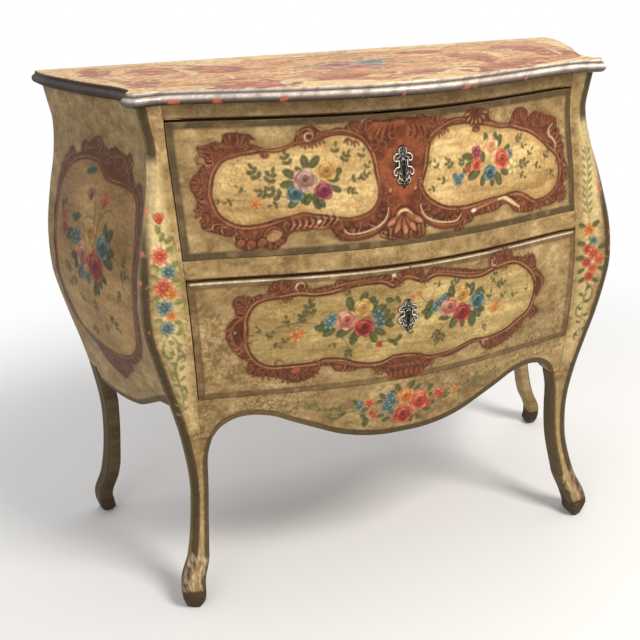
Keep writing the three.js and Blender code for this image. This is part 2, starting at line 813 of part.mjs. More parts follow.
// Heights and reach of each dovetail on the front end of a drawer side
function tails(drawer) {
  const pitch = (drawer.sideTop - drawer.sideBottom) / tailCount;
  const half = (pitch * tailRootShare) / 2;
  return spread(0, tailCount - 1, tailCount - 1).map((i) => {
    const middle = drawer.sideBottom + pitch * (i + 1 / 2);
    return { middle, half, tip: rootForward(middle) + tailLength };
  });
}

function rootForward(z) {
  return cornerForward(z) - drawerFrontThickness - fitGap;
}

function socket({ middle, half, tip }) {
  const low = middle - half;
  const high = middle + half;
  const outline = [
    [rootForward(low) - overrun, low - fitGap],
    [rootForward(low), low - fitGap],
    [tip + fitGap, low - tailFlare - fitGap],
    [tip + fitGap, high + tailFlare + fitGap],
    [rootForward(high), high + fitGap],
    [rootForward(high) - overrun, high + fitGap],
  ];
  return uprightBoard(outline, drawerSideInner - fitGap, drawerHalfWidth + overrun);
}

function makeDrawerFront(drawer) {
  const rings = spread(-drawerHalfWidth, drawerHalfWidth, bowSteps).map((x) => {
    const outside = spread(drawer.bottom, drawer.top, drawerRows);
    const inside = spread(drawer.top, drawer.bottom, drawerRows);
    return [
      ...outside.map((z) => place(x, frontForward(x, z), z)),
      ...inside.map((z) => place(x, frontForward(x, z) - drawerFrontThickness, z)),
    ];
  });
  const sockets = tails(drawer).map(socket);
  const lockHalf = lockWidth / 2 + fitGap;
  const lockBed = block(
    -lockHalf,
    lockHalf,
    drawer.lockBack - overrun,
    drawer.lockFront + fitGap,
    drawer.lockBottom - fitGap,
    drawer.top + overrun,
  );
  const waste = [...sockets, ...sockets.map(mirrored), drawerBoard(drawer, fitGap), lockBed, keyhole(drawer)];
  return cut(loft(rings, 1, 2), waste);
}

function makeDrawerSide(drawer) {
  const front = tails(drawer).flatMap(({ middle, half, tip }) => [
    [rootForward(middle - half), middle - half],
    [tip, middle - half - tailFlare],
    [tip, middle + half + tailFlare],
    [rootForward(middle + half), middle + half],
  ]);
  const outline = [
    [drawerRearForward, drawer.sideBottom],
    [rootForward(drawer.sideBottom), drawer.sideBottom],
    ...front,
    [rootForward(drawer.sideTop), drawer.sideTop],
    [drawerRearForward, drawer.sideTop],
  ];
  const groove = block(
    drawerSideInner - overrun,
    drawerSideInner + drawerBottomGroove,
    -overrun,
    overallDepth,
    drawer.boardBottom - fitGap,
    drawer.boardTop + fitGap,
  );
  const backStart = drawerRearForward + drawerBackSetback;
  const housing = block(
    drawerSideInner - overrun,
    drawerSideInner + drawerBackHousing,
    backStart - fitGap,
    backStart + drawerBackThickness + fitGap,
    drawer.boardTop,
    drawer.sideTop + overrun,
  );
  return cut(uprightBoard(outline, drawerSideInner, drawerSideOuter), [groove, housing]);
}

function makeDrawerBack(drawer) {
  const half = drawerSideInner + drawerBackHousing - fitGap;
  const start = drawerRearForward + drawerBackSetback;
  const end = start + drawerBackThickness;
  return block(-half, half, start, end, drawer.boardTop + fitGap, drawer.sideTop - drawerBackDrop);
}

// Lock: an iron box let into the top edge of the drawer front, with a bolt that rises
function makeLock(drawer) {
  const half = lockWidth / 2;
  const box = block(-half, half, drawer.lockBack, drawer.lockFront, drawer.lockBottom, drawer.lockTop);
  return cut(box, [bolt(drawer, fitGap, overrun), keyhole(drawer)]);
}

// Escutcheon: a pierced rococo keyhole plate that lies on the front
function escutcheonHole(outline) {
  return new THREE.Path(outline.map(([x, y]) => new THREE.Vector2(x, y)));
}

function ringOf(x, y, radius, sides, from, turn) {
  return spread(0, 1, sides).map((share) => {
    const angle = from + turn * share;
    return [x + radius * Math.cos(angle), y + radius * Math.sin(angle)];
  });
}

function makeEscutcheon(drawer, width, height) {
  const halfLine = new THREE.SplineCurve(
    escutcheonHalfShares.map(([x, y]) => new THREE.Vector2(x * width, y * height)),
  );
  const right = halfLine.getPoints(escutcheonOutlineSteps);
  const left = right.slice(1, -1).map((point) => new THREE.Vector2(-point.x, point.y)).reverse();
  const shape = new THREE.Shape([...right, ...left]);
  const slotHalf = keyholeSlotWidth / 2;
  const open = Math.asin(slotHalf / keyholeRadius);
  const top = ringOf(0, 0, keyholeRadius, keyholeSides, open - Math.PI / 2, 2 * Math.PI - 2 * open);
  shape.holes.push(escutcheonHole([...top, [-slotHalf, -keyholeSlotHeight], [slotHalf, -keyholeSlotHeight]]));
  escutcheonPiercingShares.forEach(([x, y, radius]) => {
    [-1, 1].forEach((side) => {
      const ring = ringOf(side * x * width, y * height, radius * height, piercingSides, 0, 2 * Math.PI);
      shape.holes.push(escutcheonHole(ring.slice(1)));
    });
  });
  const plate = new THREE.ExtrudeGeometry(shape, { depth: escutcheonThickness, bevelEnabled: false });
  const low = frontForward(0, drawer.keyHeight - height / 2);
  const high = frontForward(0, drawer.keyHeight + height / 2);
  const middle = frontForward(0, drawer.keyHeight);
  const lift = Math.max(middle - (low + high) / 2, 0);
  plate.rotateX(Math.PI / 2 + Math.atan((high - low) / height));
  return plate.translate(...place(0, (low + high) / 2 + lift + fitGap, drawer.keyHeight));
}

function addDrawer(name, drawer, escutcheonWidth, escutcheonHeight) {
  const side = makeDrawerSide(drawer);
  addPiece(`${name}_front`, makeDrawerFront(drawer), paintedWood());
  addPiece(`${name}_right_side`, side, bareWood());
  addPiece(`${name}_left_side`, mirrored(side), bareWood());
  addPiece(`${name}_back`, makeDrawerBack(drawer), bareWood());
  addPiece(`${name}_bottom`, drawerBoard(drawer, 0), bareWood());
  addPiece(`${name}_lock`, makeLock(drawer), lockIron());
  addPiece(`${name}_lock_bolt`, bolt(drawer, 0, 0), lockIron());
  addPiece(`${name}_escutcheon`, makeEscutcheon(drawer, escutcheonWidth, escutcheonHeight), oldBrass());
}

addDrawer('upper_drawer', upperDrawer, upperEscutcheonWidth, upperEscutcheonHeight);
addDrawer('lower_drawer', lowerDrawer, lowerEscutcheonWidth, lowerEscutcheonHeight);

export default chest;
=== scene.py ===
import math

import bpy
import numpy as np
from mathutils import Matrix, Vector
from mathutils.geometry import tessellate_polygon


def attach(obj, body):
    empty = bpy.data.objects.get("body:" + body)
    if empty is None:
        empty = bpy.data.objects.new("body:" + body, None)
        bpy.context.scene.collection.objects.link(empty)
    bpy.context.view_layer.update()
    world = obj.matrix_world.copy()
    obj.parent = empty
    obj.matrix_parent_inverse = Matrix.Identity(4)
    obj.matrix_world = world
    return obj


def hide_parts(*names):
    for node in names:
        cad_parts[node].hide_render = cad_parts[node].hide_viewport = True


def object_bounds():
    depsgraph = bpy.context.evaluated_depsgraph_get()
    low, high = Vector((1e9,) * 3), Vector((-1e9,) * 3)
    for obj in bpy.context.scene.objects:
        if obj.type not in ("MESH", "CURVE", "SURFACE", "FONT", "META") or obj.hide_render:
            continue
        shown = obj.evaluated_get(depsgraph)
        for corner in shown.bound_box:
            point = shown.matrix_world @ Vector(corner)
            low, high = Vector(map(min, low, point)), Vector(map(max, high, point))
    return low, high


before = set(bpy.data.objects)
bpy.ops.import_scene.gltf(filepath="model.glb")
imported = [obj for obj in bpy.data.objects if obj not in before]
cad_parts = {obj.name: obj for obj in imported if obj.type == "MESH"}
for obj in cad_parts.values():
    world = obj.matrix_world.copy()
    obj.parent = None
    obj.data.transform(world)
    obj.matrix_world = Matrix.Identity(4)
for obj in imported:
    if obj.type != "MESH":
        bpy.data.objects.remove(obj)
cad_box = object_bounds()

# Front posts
# Stile, turned corner and cabriole leg are sawn from one plank of limewood, rasped to the swell
# of the chest and gessoed. The paint is an old mottled ochre, worn pale on the knees and feet.
# Sizes are in millimetres; "forward" is measured from the wall side of the top.
OVERALL_HEIGHT = 840
BACK_PLANE = cad_box[1][1] * 1000
HALF_WIDTH = cad_box[1][0] * 1000
ANKLE_HALF_WIDTH = 353
SIDE_SWELL = 45
WAIST_FORWARD = 344
FRONT_SWELL = 46
SIDE_SWELL_SHARES = [
    (0, .72), (.012, .77), (.03, .84), (.055, .8), (.1, .43), (.176, .13), (.268, 0), (.364, .155),
    (.43, .37), (.5, .66), (.5875, .97), (.63, 1), (.7, .88), (.777, .575), (.842, .26), (.905, .11),
    (.943, .19), (1, .33)]
FRONT_SWELL_SHARES = [
    (0, .93), (.012, 1.02), (.03, 1.05), (.055, .82), (.1, .59), (.176, .28), (.221, .25),
    (.315, .36), (.43, .717), (.5, .9), (.56, .975), (.617, 1), (.679, .913), (.745, .674),
    (.801, .478), (.842, .28), (.888, .065), (.926, 0), (1, .15)]
FRONT_BOW = 80
BOW_SHARPNESS = 1.2
BOW_SHARES = [
    (.333, .69), (.446, .65), (.619, .67), (.681, .72), (.718, .73), (.786, .8), (.857, .925),
    (.949, .99), (1, .97)]
CANT_WIDTH = 12
CANT_RISE = 5
CANT_SWELL = 1.2
CANT_STEPS = 6
CASE_BACK_FORWARD = 8
SIDE_SPLAY = 108
SIDE_PLAN_SHARES = [(0, 0), (.3, .29), (.56, .6), (.72, .82), (.85, .985), (.93, 1.03), (1, 1)]
LEG_THICKNESS = 31
LEG_DEPTH = 30
LEG_CORNER_CUT = 5
LEG_OUTER_CUT = 12
POST_CORNER_CUT = .6
LEG_WIDTH_SHARES = [
    (0, .78), (.012, 1.05), (.03, 1.25), (.055, 1.31), (.08, 1.25), (.12, 1.08), (.17, 1), (.24, 1),
    (.29, 1.08), (.32, 1.24), (.357, 1.64)]
TOE_TURN = 4
POST_INNER = 328
POST_BACK = 300
CASE_TOP = 819.7
TOP_RAIL_UNDERSIDE = 798.7
UPPER_SILL = 601.7
DIVIDER_UNDERSIDE = 573.7
LOWER_SILL = 374.7
SHOULDER = 299.7
FIT_GAP = 0.3
BOW_HALF_WIDTH = 326.5
SIDE_ARCH_START = 45
SIDE_ARCH_DROP = 83
SIDE_ARCH_SHARES = [
    (0, 1), (.2, .99), (.33, .975), (.45, .92), (.57, .82), (.72, .555), (.81, .385), (.91, .22),
    (.97, .15), (1, .145)]
POST_PITCH = 2.0
PAINT_PITCH = 1.0


def smooth(shares, at):
    """Value of the smooth line through (place, value) pairs."""
    x, y = np.array(shares, float).T
    slope = np.empty_like(y)
    slope[1:-1] = (y[2:] - y[:-2]) / (x[2:] - x[:-2])
    slope[0] = (y[1] - y[0]) / (x[1] - x[0])
    slope[-1] = (y[-1] - y[-2]) / (x[-1] - x[-2])
    i = np.clip(np.searchsorted(x, at) - 1, 0, len(x) - 2)
    run = x[i + 1] - x[i]
    t = np.clip((at - x[i]) / run, 0, 1)
    return ((2 * t**3 - 3 * t**2 + 1) * y[i] + (t**3 - 2 * t**2 + t) * slope[i] * run
            + (3 * t**2 - 2 * t**3) * y[i + 1] + (t**3 - t**2) * slope[i + 1] * run)


def ease(t):
    t = np.clip(t, 0, 1)
    return t * t * (3 - 2 * t)


def corner_x(z):
    return ANKLE_HALF_WIDTH + SIDE_SWELL * smooth(SIDE_SWELL_SHARES, z / OVERALL_HEIGHT)


def corner_forward(z):
    return WAIST_FORWARD + FRONT_SWELL * smooth(FRONT_SWELL_SHARES, z / OVERALL_HEIGHT)


def front_forward(x, z):
    """Forward reach of the bowed and swelling front."""
    x, z = np.broadcast_arrays(np.abs(np.asarray(x, float)), np.asarray(z, float))
    bow = FRONT_BOW * smooth(BOW_SHARES, z / OVERALL_HEIGHT)
    wave = np.cos(math.pi / 2 * np.clip(x / BOW_HALF_WIDTH, 0, 1))
    bowed = bow * np.clip(wave, 0, 1) ** BOW_SHARPNESS
    flare_width = corner_x(z) - CANT_WIDTH - BOW_HALF_WIDTH
    return corner_forward(z) + bowed + CANT_RISE * ease((x - BOW_HALF_WIDTH) / flare_width)


def side_x(forward, z):
    """Half width of the case at a forward place and a height."""
    reach = (forward - CASE_BACK_FORWARD) / (corner_forward(z) - CASE_BACK_FORWARD)
    return corner_x(z) + SIDE_SPLAY * (1 - smooth(SIDE_PLAN_SHARES, reach))


SIDE_SHOULDER = LOWER_SILL - 30
SIDE_ARCH_END = float(corner_forward(SIDE_SHOULDER)) - LEG_DEPTH


def side_arch(forward):
    """Height of the lower edge of the side at a forward place."""
    reach = (forward - SIDE_ARCH_START) / (SIDE_ARCH_END - SIDE_ARCH_START)
    return LOWER_SILL - SIDE_ARCH_DROP * smooth(SIDE_ARCH_SHARES, reach)


def leg_width(z):
    return LEG_THICKNESS * smooth(LEG_WIDTH_SHARES, min(z, SHOULDER) / OVERALL_HEIGHT)


def steps(first, last, pitch):
    """Evenly spaced numbers no further apart than the pitch."""
    return np.linspace(first, last, max(int(math.ceil(abs(last - first) / pitch)), 1) + 1)


class Canvas:
    """A painted face laid flat: colours on a square grid, with the brushes that mark it."""

    def __init__(self, left, right, low, high, pitch):
        self.left, self.low, self.pitch = left, low, pitch
        self.across = left + pitch * np.arange(int((right - left) / pitch) + 1)
        self.up = low + pitch * np.arange(int((high - low) / pitch) + 1)
        self.rgb = np.zeros((len(self.up), len(self.across), 3))
        self.wobble = 1 + .2 * (self.cloud(4, 1) - .5) + .14 * (self.cloud(1.7, 2) - .5)

    def window(self, x0, x1, z0, z1):
        rows, cols = self.rgb.shape[:2]
        c0 = min(max(int((x0 - self.left) / self.pitch), 0), cols)
        c1 = min(max(int((x1 - self.left) / self.pitch) + 2, 0), cols)
        r0 = min(max(int((z0 - self.low) / self.pitch), 0), rows)
        r1 = min(max(int((z1 - self.low) / self.pitch) + 2, 0), rows)
        return slice(r0, r1), slice(c0, c1)

    def blend(self, where, cover, colour, strength=1.0):
        """Lays a colour, or another painted face, over a window of this one."""
        colour = np.asarray(colour, float)
        if colour.ndim > 1:
            colour = colour[where]
        if np.ndim(strength):
            strength = strength[where]
        part = self.rgb[where]
        wet = colour * self.wobble[where][..., None]
        part += (wet - part) * (cover * strength)[..., None]

    def wash(self, cover, colour, strength=1.0):
        """Lays a colour over the whole face."""
        self.blend((slice(None), slice(None)), cover, colour, strength)

    def stroke(self, line, width, colour, strength=1.0, start=.25, end=.15, soft=0):
        """One pull of the brush along a line; start and end give the share of its width there."""
        line = np.asarray(line, float)
        share = np.linspace(0, 1, len(line))
        rising, falling = ease(share / .45), ease((1 - share) / .45)
        half = width / 2 * np.minimum(start + (1 - start) * rising, end + (1 - end) * falling)
        reach = width / 2 + soft + self.pitch
        (x0, z0), (x1, z1) = line.min(0) - reach, line.max(0) + reach
        where = self.window(x0, x1, z0, z1)
        x, z = self.across[where[1]], self.up[where[0]]
        cover = np.zeros((len(z), len(x)))
        blur = max(self.pitch, soft)
        for a, b, ra, rb in zip(line[:-1], line[1:], half[:-1], half[1:]):
            wide = max(ra, rb) + blur
            c0, c1 = np.searchsorted(x, (min(a[0], b[0]) - wide, max(a[0], b[0]) + wide))
            r0, r1 = np.searchsorted(z, (min(a[1], b[1]) - wide, max(a[1], b[1]) + wide))
            if c0 == c1 or r0 == r1:
                continue
            dx, dz = x[None, c0:c1] - a[0], z[r0:r1, None] - a[1]
            run = b - a
            t = np.clip((dx * run[0] + dz * run[1]) / max(run @ run, 1e-9), 0, 1)
            gap = np.hypot(dx - t * run[0], dz - t * run[1])
            mark = np.clip((ra + (rb - ra) * t - gap) / blur + .5, 0, 1)
            np.maximum(cover[r0:r1, c0:c1], mark, out=cover[r0:r1, c0:c1])
        self.blend(where, cover, colour, strength)

    def pull(self, points, *brush):
        """A stroke along the smooth line through points."""
        line = curve(points)
        self.stroke(line, *brush)

    def cover(self, outline):
        """Window round a closed outline, and how much of each of its squares lies inside."""
        x0, z0 = np.asarray(outline, float).T
        x1, z1 = np.roll(x0, -1), np.roll(z0, -1)
        where = self.window(x0.min(), x0.max(), z0.min(), z0.max())
        x, z = self.across[where[1]], self.up[where[0]]
        cover = np.zeros((len(z), len(x)))
        left = x - self.pitch / 2
        for row, height in enumerate(z):
            for shift in (-.375, -.125, .125, .375):
                level = height + shift * self.pitch
                met = (z0 <= level) != (z1 <= level)
                cuts = np.sort(x0[met] + (level - z0[met]) * (x1[met] - x0[met]) / (z1[met] - z0[met]))
                for a, b in zip(cuts[::2], cuts[1::2]):
                    end, start = (np.clip((cut - left) / self.pitch, 0, 1) for cut in (b, a))
                    cover[row] += (end - start) / 4
        return where, cover

    def area(self, outline, colour, strength=1.0):
        """Fills a closed outline."""
        self.blend(*self.cover(outline), colour, strength)

    def between(self, outer, inner, colour, strength):
        """Thin glaze inside one outline and outside another."""
        share = np.zeros(self.rgb.shape[:2])
        where, cover = self.cover(outer)
        share[where] = cover
        where, cover = self.cover(inner)
        share[where] = np.minimum(share[where], 1 - cover)
        self.wash(share, colour, strength)

    def dab(self, x, z, length, width, turn, colour, strength=1.0, pointed=False):
        """One touch of the brush: an oval, or a leaf shape pointed at both ends; turned in degrees."""
        turn = math.radians(turn)
        reach = max(length, width) / 2 + self.pitch
        where = self.window(x - reach, x + reach, z - reach, z + reach)
        dx, dz = self.across[where[1]][None, :] - x, self.up[where[0]][:, None] - z
        along = (dx * math.cos(turn) + dz * math.sin(turn)) / (length / 2)
        beside = -dx * math.sin(turn) + dz * math.cos(turn)
        if pointed:
            cover = (width / 2 * (1 - along**2) - np.abs(beside)) / self.pitch + .5
        else:
            cover = (1 - np.hypot(along, beside / (width / 2))) * min(length, width) / 2 / self.pitch + .5
        self.blend(where, np.clip(cover, 0, 1), colour, strength)

    def cloud(self, size, seed, stretch=1.0):
        """Soft random patches between 0 and 1, about as large as the size."""
        random = np.random.default_rng(seed)
        r = np.arange(len(self.up)) * self.pitch / size
        c = np.arange(len(self.across)) * self.pitch / (size * stretch)
        grid = random.random((int(r[-1]) + 2, int(c[-1]) + 2))
        i, j = r.astype(int), c.astype(int)
        s, t = ease(r - i)[:, None], ease(c - j)[None, :]
        low = grid[i][:, j] * (1 - t) + grid[i][:, j + 1] * t
        high = grid[i + 1][:, j] * (1 - t) + grid[i + 1][:, j + 1] * t
        return low * (1 - s) + high * s

    def patch(self, size, seed, low, span, stretch=1.0):
        """The same patches with a firmer edge: 0 below the low level, 1 above it and the span."""
        return ease((self.cloud(size, seed, stretch) - low) / span)

    def cells(self, size, seed):
        """Distance to the nearest seam of random cells about as large as the size."""
        jitter = np.random.default_rng(seed).random((len(self.up) + 9, len(self.across) + 9, 2))
        x = (self.across - self.left)[None, :] / size + .9 * self.cloud(size * .6, seed + 1) + 1
        z = (self.up - self.low)[:, None] / size + .9 * self.cloud(size * .6, seed + 2) + 1
        first = np.full(x.shape, 9.)
        second = first.copy()
        for down in (-1, 0, 1):
            for across in (-1, 0, 1):
                i, j = z.astype(int) + down, x.astype(int) + across
                far = np.hypot(x - j - jitter[i, j, 0], z - i - jitter[i, j, 1])
                second = np.minimum(second, np.maximum(first, far))
                first = np.minimum(first, far)
        return (second - first) * size

    def at(self, x, z):
        """Colours at places on the face."""
        rows, cols = self.rgb.shape[:2]
        c = np.clip((x - self.left) / self.pitch, 0, cols - 1.001)
        r = np.clip((z - self.low) / self.pitch, 0, rows - 1.001)
        i, j = r.astype(int), c.astype(int)
        s, t = (r - i)[..., None], (c - j)[..., None]
        low = self.rgb[i, j] * (1 - t) + self.rgb[i, j + 1] * t
        high = self.rgb[i + 1, j] * (1 - t) + self.rgb[i + 1, j + 1] * t
        found = low * (1 - s) + high * s
        return found + (VARNISH - found) * VARNISH_SHARE


dab, pull, stroke, area = Canvas.dab, Canvas.pull, Canvas.stroke, Canvas.area


def paint(canvas, touches):
    """Lays on touches in order; each names its brush and what the brush needs."""
    for brush, *values in touches:
        brush(canvas, *values)


def line_of(across, up):
    return np.stack(np.broadcast_arrays(across, up), 1)


def mottle(canvas, pale, mid, dark, seed):
    """Old ground paint: patches of three tones with a soft horizontal brushing."""
    large = canvas.cloud(70, seed)
    middle = canvas.cloud(17, seed + 1, 1.3)
    small = canvas.cloud(6, seed + 2, 1.6)
    fine = canvas.cloud(2.5, seed + 3)
    tone = .26 * large + .3 * middle + .26 * small + .18 * fine
    pale_share = ease((tone - .5) / .24)[..., None]
    dark_share = ease((.5 - tone) / .24)[..., None]
    mixed = np.asarray(mid) + (np.asarray(pale) - mid) * pale_share
    canvas.rgb[:] = mixed + (np.asarray(dark) - mixed) * dark_share


front_paint = Canvas(-402, 402, 0, 826, PAINT_PITCH)
side_paint = Canvas(0, 396, 0, 826, 1.5)
GROUND_PALE = (196, 170, 122)
GROUND_MID = (158, 132, 88)
GROUND_DARK = (120, 97, 61)
SEAM_BROWN = (92, 68, 42)
VARNISH = np.array((150, 118, 76))
VARNISH_SHARE = .14


def craze(canvas, size, seed, strength):
    """Worm-like cells of the old ground: pale inside, with brown seams, stronger in patches."""
    seam = canvas.cells(size, seed)
    patch = .25 + .75 * canvas.patch(55, seed + 1, .3, .4)
    inside = ease((seam - size * .12) / (size * .5)) * patch * strength * .5
    canvas.wash(inside, GROUND_PALE)
    canvas.wash(ease(1 - seam / (size * .17)) * patch * strength, SEAM_BROWN)


mottle(front_paint, GROUND_PALE, GROUND_MID, GROUND_DARK, 11)
mottle(side_paint, GROUND_PALE, GROUND_MID, GROUND_DARK, 31)
above_legs = ease((front_paint.up - 250) / 90)
below_upper_drawer = ease((610 - front_paint.up) / 130)
craze(front_paint, 9, 15, (.25 + (.2 + .28 * below_upper_drawer) * above_legs)[:, None])
craze(side_paint, 10, 35, .45)
BARE_WOOD = (150, 112, 72)


def to_linear(rgb):
    share = np.clip(np.asarray(rgb, float) / 255, 0, 1)
    return np.where(share <= .04045, share / 12.92, ((share + .055) / 1.055) ** 2.4)


class Finish:
    """A material with its shader, and short ways to add nodes to it."""

    def __init__(self, name):
        self.material = bpy.data.materials.new(name)
        self.material.use_nodes = True
        self.tree = self.material.node_tree
        self.shader = self.tree.nodes["Principled BSDF"]
        self.place = self.node("TexCoord")["Object"]

    def join(self, node, inputs):
        """Gives a node's inputs plain values or the outputs of other nodes."""
        for key, value in inputs.items():
            if isinstance(value, bpy.types.NodeSocket):
                self.tree.links.new(value, node.inputs[key])
            else:
                node.inputs[key].default_value = value
        return node.outputs

    def node(self, kind, inputs=None, **settings):
        made = self.tree.nodes.new("ShaderNode" + kind)
        for key, value in settings.items():
            setattr(made, key, value)
        return self.join(made, inputs or {})

    def noise(self, scale, detail, place=None, rough=.5, twist=0):
        inputs = {"Scale": scale, "Detail": detail, "Roughness": rough, "Distortion": twist}
        return self.node("TexNoise", {"Vector": place or self.place, **inputs})

    def along(self, axis, share):
        """Places drawn out along one axis, for grain."""
        scale = [share if i == axis else 1 for i in range(3)]
        return self.node("Mapping", {"Vector": self.place, "Scale": scale})[0]

    def times(self, one, other):
        return self.node("Math", {0: one, 1: other}, operation="MULTIPLY")[0]

    def ramp(self, source, low, high):
        """Value spread softly from 0 to 1 between two levels."""
        return self.node("MapRange", {0: source, 1: low, 2: high}, interpolation_type="SMOOTHSTEP")[0]

    def spread(self, source, first, last):
        """Value from 0 to 1 spread between two others."""
        return self.node("MapRange", {0: source, 3: first, 4: last})[0]

    def mix(self, factor, one, other, kind="MIX"):
        return self.node("Mix", {0: factor, 6: one, 7: other}, data_type="RGBA", blend_type=kind)[2]

    def stain(self, factor, colour, tone):
        return self.mix(factor, colour, tone, "MULTIPLY")

    def coat(self, colour, rough, shine=.5, metal=0):
        inputs = {"Base Color": colour, "Roughness": rough, "Specular IOR Level": shine, "Metallic": metal}
        self.join(self.shader, inputs)

    def bump(self, height, strength, distance):
        inputs = {"Height": height, "Strength": strength, "Distance": distance}
        self.join(self.shader, {"Normal": self.node("Bump", inputs)[0]})


def painted_finish(name, crackle, gloss, shine=.12, grain_axis=2):
    """Gesso, oil colour and a thin brown varnish, crazed and rubbed; bare wood where the alpha is 0."""
    made = Finish(name)
    paint = made.node("Attribute", attribute_name="paint")
    bend = {0: made.noise(60, 3)["Color"], 1: (.006, .006, .006), 2: made.place}
    bent = made.node("VectorMath", bend, operation="MULTIPLY_ADD")[0]
    cells = made.node("TexVoronoi", {"Vector": bent, "Scale": 150}, feature="DISTANCE_TO_EDGE")["Distance"]
    patches = made.noise(14, 4)["Fac"]
    crack = made.times(made.ramp(cells, .035, 0), made.ramp(patches, .42, .62))
    specks = made.ramp(made.noise(420, 2)["Fac"], .71, .78)
    grime = made.noise(55, 6, rough=.7)["Fac"]
    soiled = made.stain(made.times(made.ramp(grime, .5, .75), .22), paint["Color"], (.42, .3, .17, 1))
    cracked = made.stain(made.times(crack, crackle), soiled, (.36, .24, .14, 1))
    specked = made.mix(specks, cracked, (.62, .5, .34, 1))
    grain = made.ramp(made.noise(90, 5, made.along(grain_axis, .06))["Fac"], .4, .62)
    bare = made.stain(grain, paint["Color"], (.68, .58, .48, 1))
    colour = made.mix(paint["Alpha"], bare, specked)
    made.coat(colour, made.spread(patches, gloss + .12, gloss - .08), shine)
    made.bump(made.node("Math", {0: crack, 1: -.6, 2: grime}, operation="MULTIPLY_ADD")[0], .25, .0006)
    return made.material


aged_paint = painted_finish("aged_ochre_paint", crackle=.85, gloss=.46)


def piece(name, points, faces, colours, material, body, node, sharp=35):
    """Mesh of places (across, forward, up) in millimetres, standing for a node of the frame."""
    points = np.asarray(points, float).reshape(-1, 3)
    across = np.clip(points[:, 0], -HALF_WIDTH, HALF_WIDTH)
    metres = np.stack([across, BACK_PLANE - points[:, 1], points[:, 2]], 1) / 1000
    mesh = bpy.data.meshes.new(name)
    mesh.from_pydata(metres.tolist(), [], [list(face) for face in faces])
    mesh.calc_loop_triangles()
    corners = np.empty(len(mesh.loop_triangles) * 3, int)
    mesh.loop_triangles.foreach_get("vertices", corners)
    a, b, c = metres[corners].reshape(-1, 3, 3).transpose(1, 0, 2)
    if np.einsum("ij,ij->", a, np.cross(b, c)) < 0:
        mesh.flip_normals()
    if colours is not None:
        layer = mesh.color_attributes.new("paint", "FLOAT_COLOR", "POINT")
        colours = np.asarray(colours, float).reshape(-1, 4)
        linear = np.concatenate([to_linear(colours[:, :3]), colours[:, 3:]], 1)
        layer.data.foreach_set("color", linear.astype(np.float32).ravel())
    mesh.shade_smooth()
    mesh.set_sharp_from_angle(angle=math.radians(sharp))
    mesh.materials.append(material)
    made = bpy.data.objects.new(name, mesh)
    bpy.context.collection.objects.link(made)
    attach(made, body)
    if node:
        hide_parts(node)
    return made


def grid_faces(grid):
    """Four-sided faces between the numbered points of a grid."""
    return np.stack([grid[:-1, :-1], grid[:-1, 1:], grid[1:, 1:], grid[1:, :-1]], -1).reshape(-1, 4).tolist()


def loft_faces(rings, count):
    """Faces of a closed body through rings of equal count, one after the other."""
    r, i = np.meshgrid(np.arange(rings - 1), np.arange(count), indexing="ij")
    a = (r * count + i).ravel()
    b = (r * count + (i + 1) % count).ravel()
    walls = np.stack([a, b, b + count, a + count], 1).tolist()
    return walls + [list(range(count))[::-1], [(rings - 1) * count + i for i in range(count)]]


def leg_inner(z):
    return float(corner_x(z)) - leg_width(z)


def leg_back(z):
    return corner_forward(z) - min(leg_width(z), LEG_DEPTH)


KNEE_HALF_WIDTH = leg_inner(SHOULDER)


def front_post_ring(z, inner, back, side_turn, across_count, side_count):
    """Outline of the post at a height, from the seam over the corner to the back."""
    x = float(corner_x(z))
    toe = (TOE_TURN + CANT_RISE) * max(1 - z / SHOULDER, 0)
    turn = LEG_CORNER_CUT if z < SHOULDER - .01 else POST_CORNER_CUT
    face_x = np.linspace(inner + turn, x - CANT_WIDTH, across_count)
    face = front_forward(face_x, z) + toe * (1 - (face_x - inner) / (x - inner))
    cant = np.linspace(0, 1, CANT_STEPS + 1)[1:]
    cant_x = x - CANT_WIDTH * (1 - cant)
    start = face[-1]
    end = float(corner_forward(z))
    rise = np.sin(cant * math.pi) * CANT_SWELL
    cant_forward = start + (end - start) * cant + rise
    side_forward = np.linspace(end, back + side_turn, side_count)[1:]
    side = side_x(side_forward, z)
    back_x = np.linspace(side_x(back, z) - side_turn, inner + turn, 4)
    ring = [*zip(face_x, face), *zip(cant_x, cant_forward), *zip(side, side_forward)]
    ring += [(across, back) for across in back_x]
    ring += [(inner, back + turn), (inner, (back + face[0]) / 2), (inner, face[0] - turn)]
    return [(across, forward, z) for across, forward in ring]


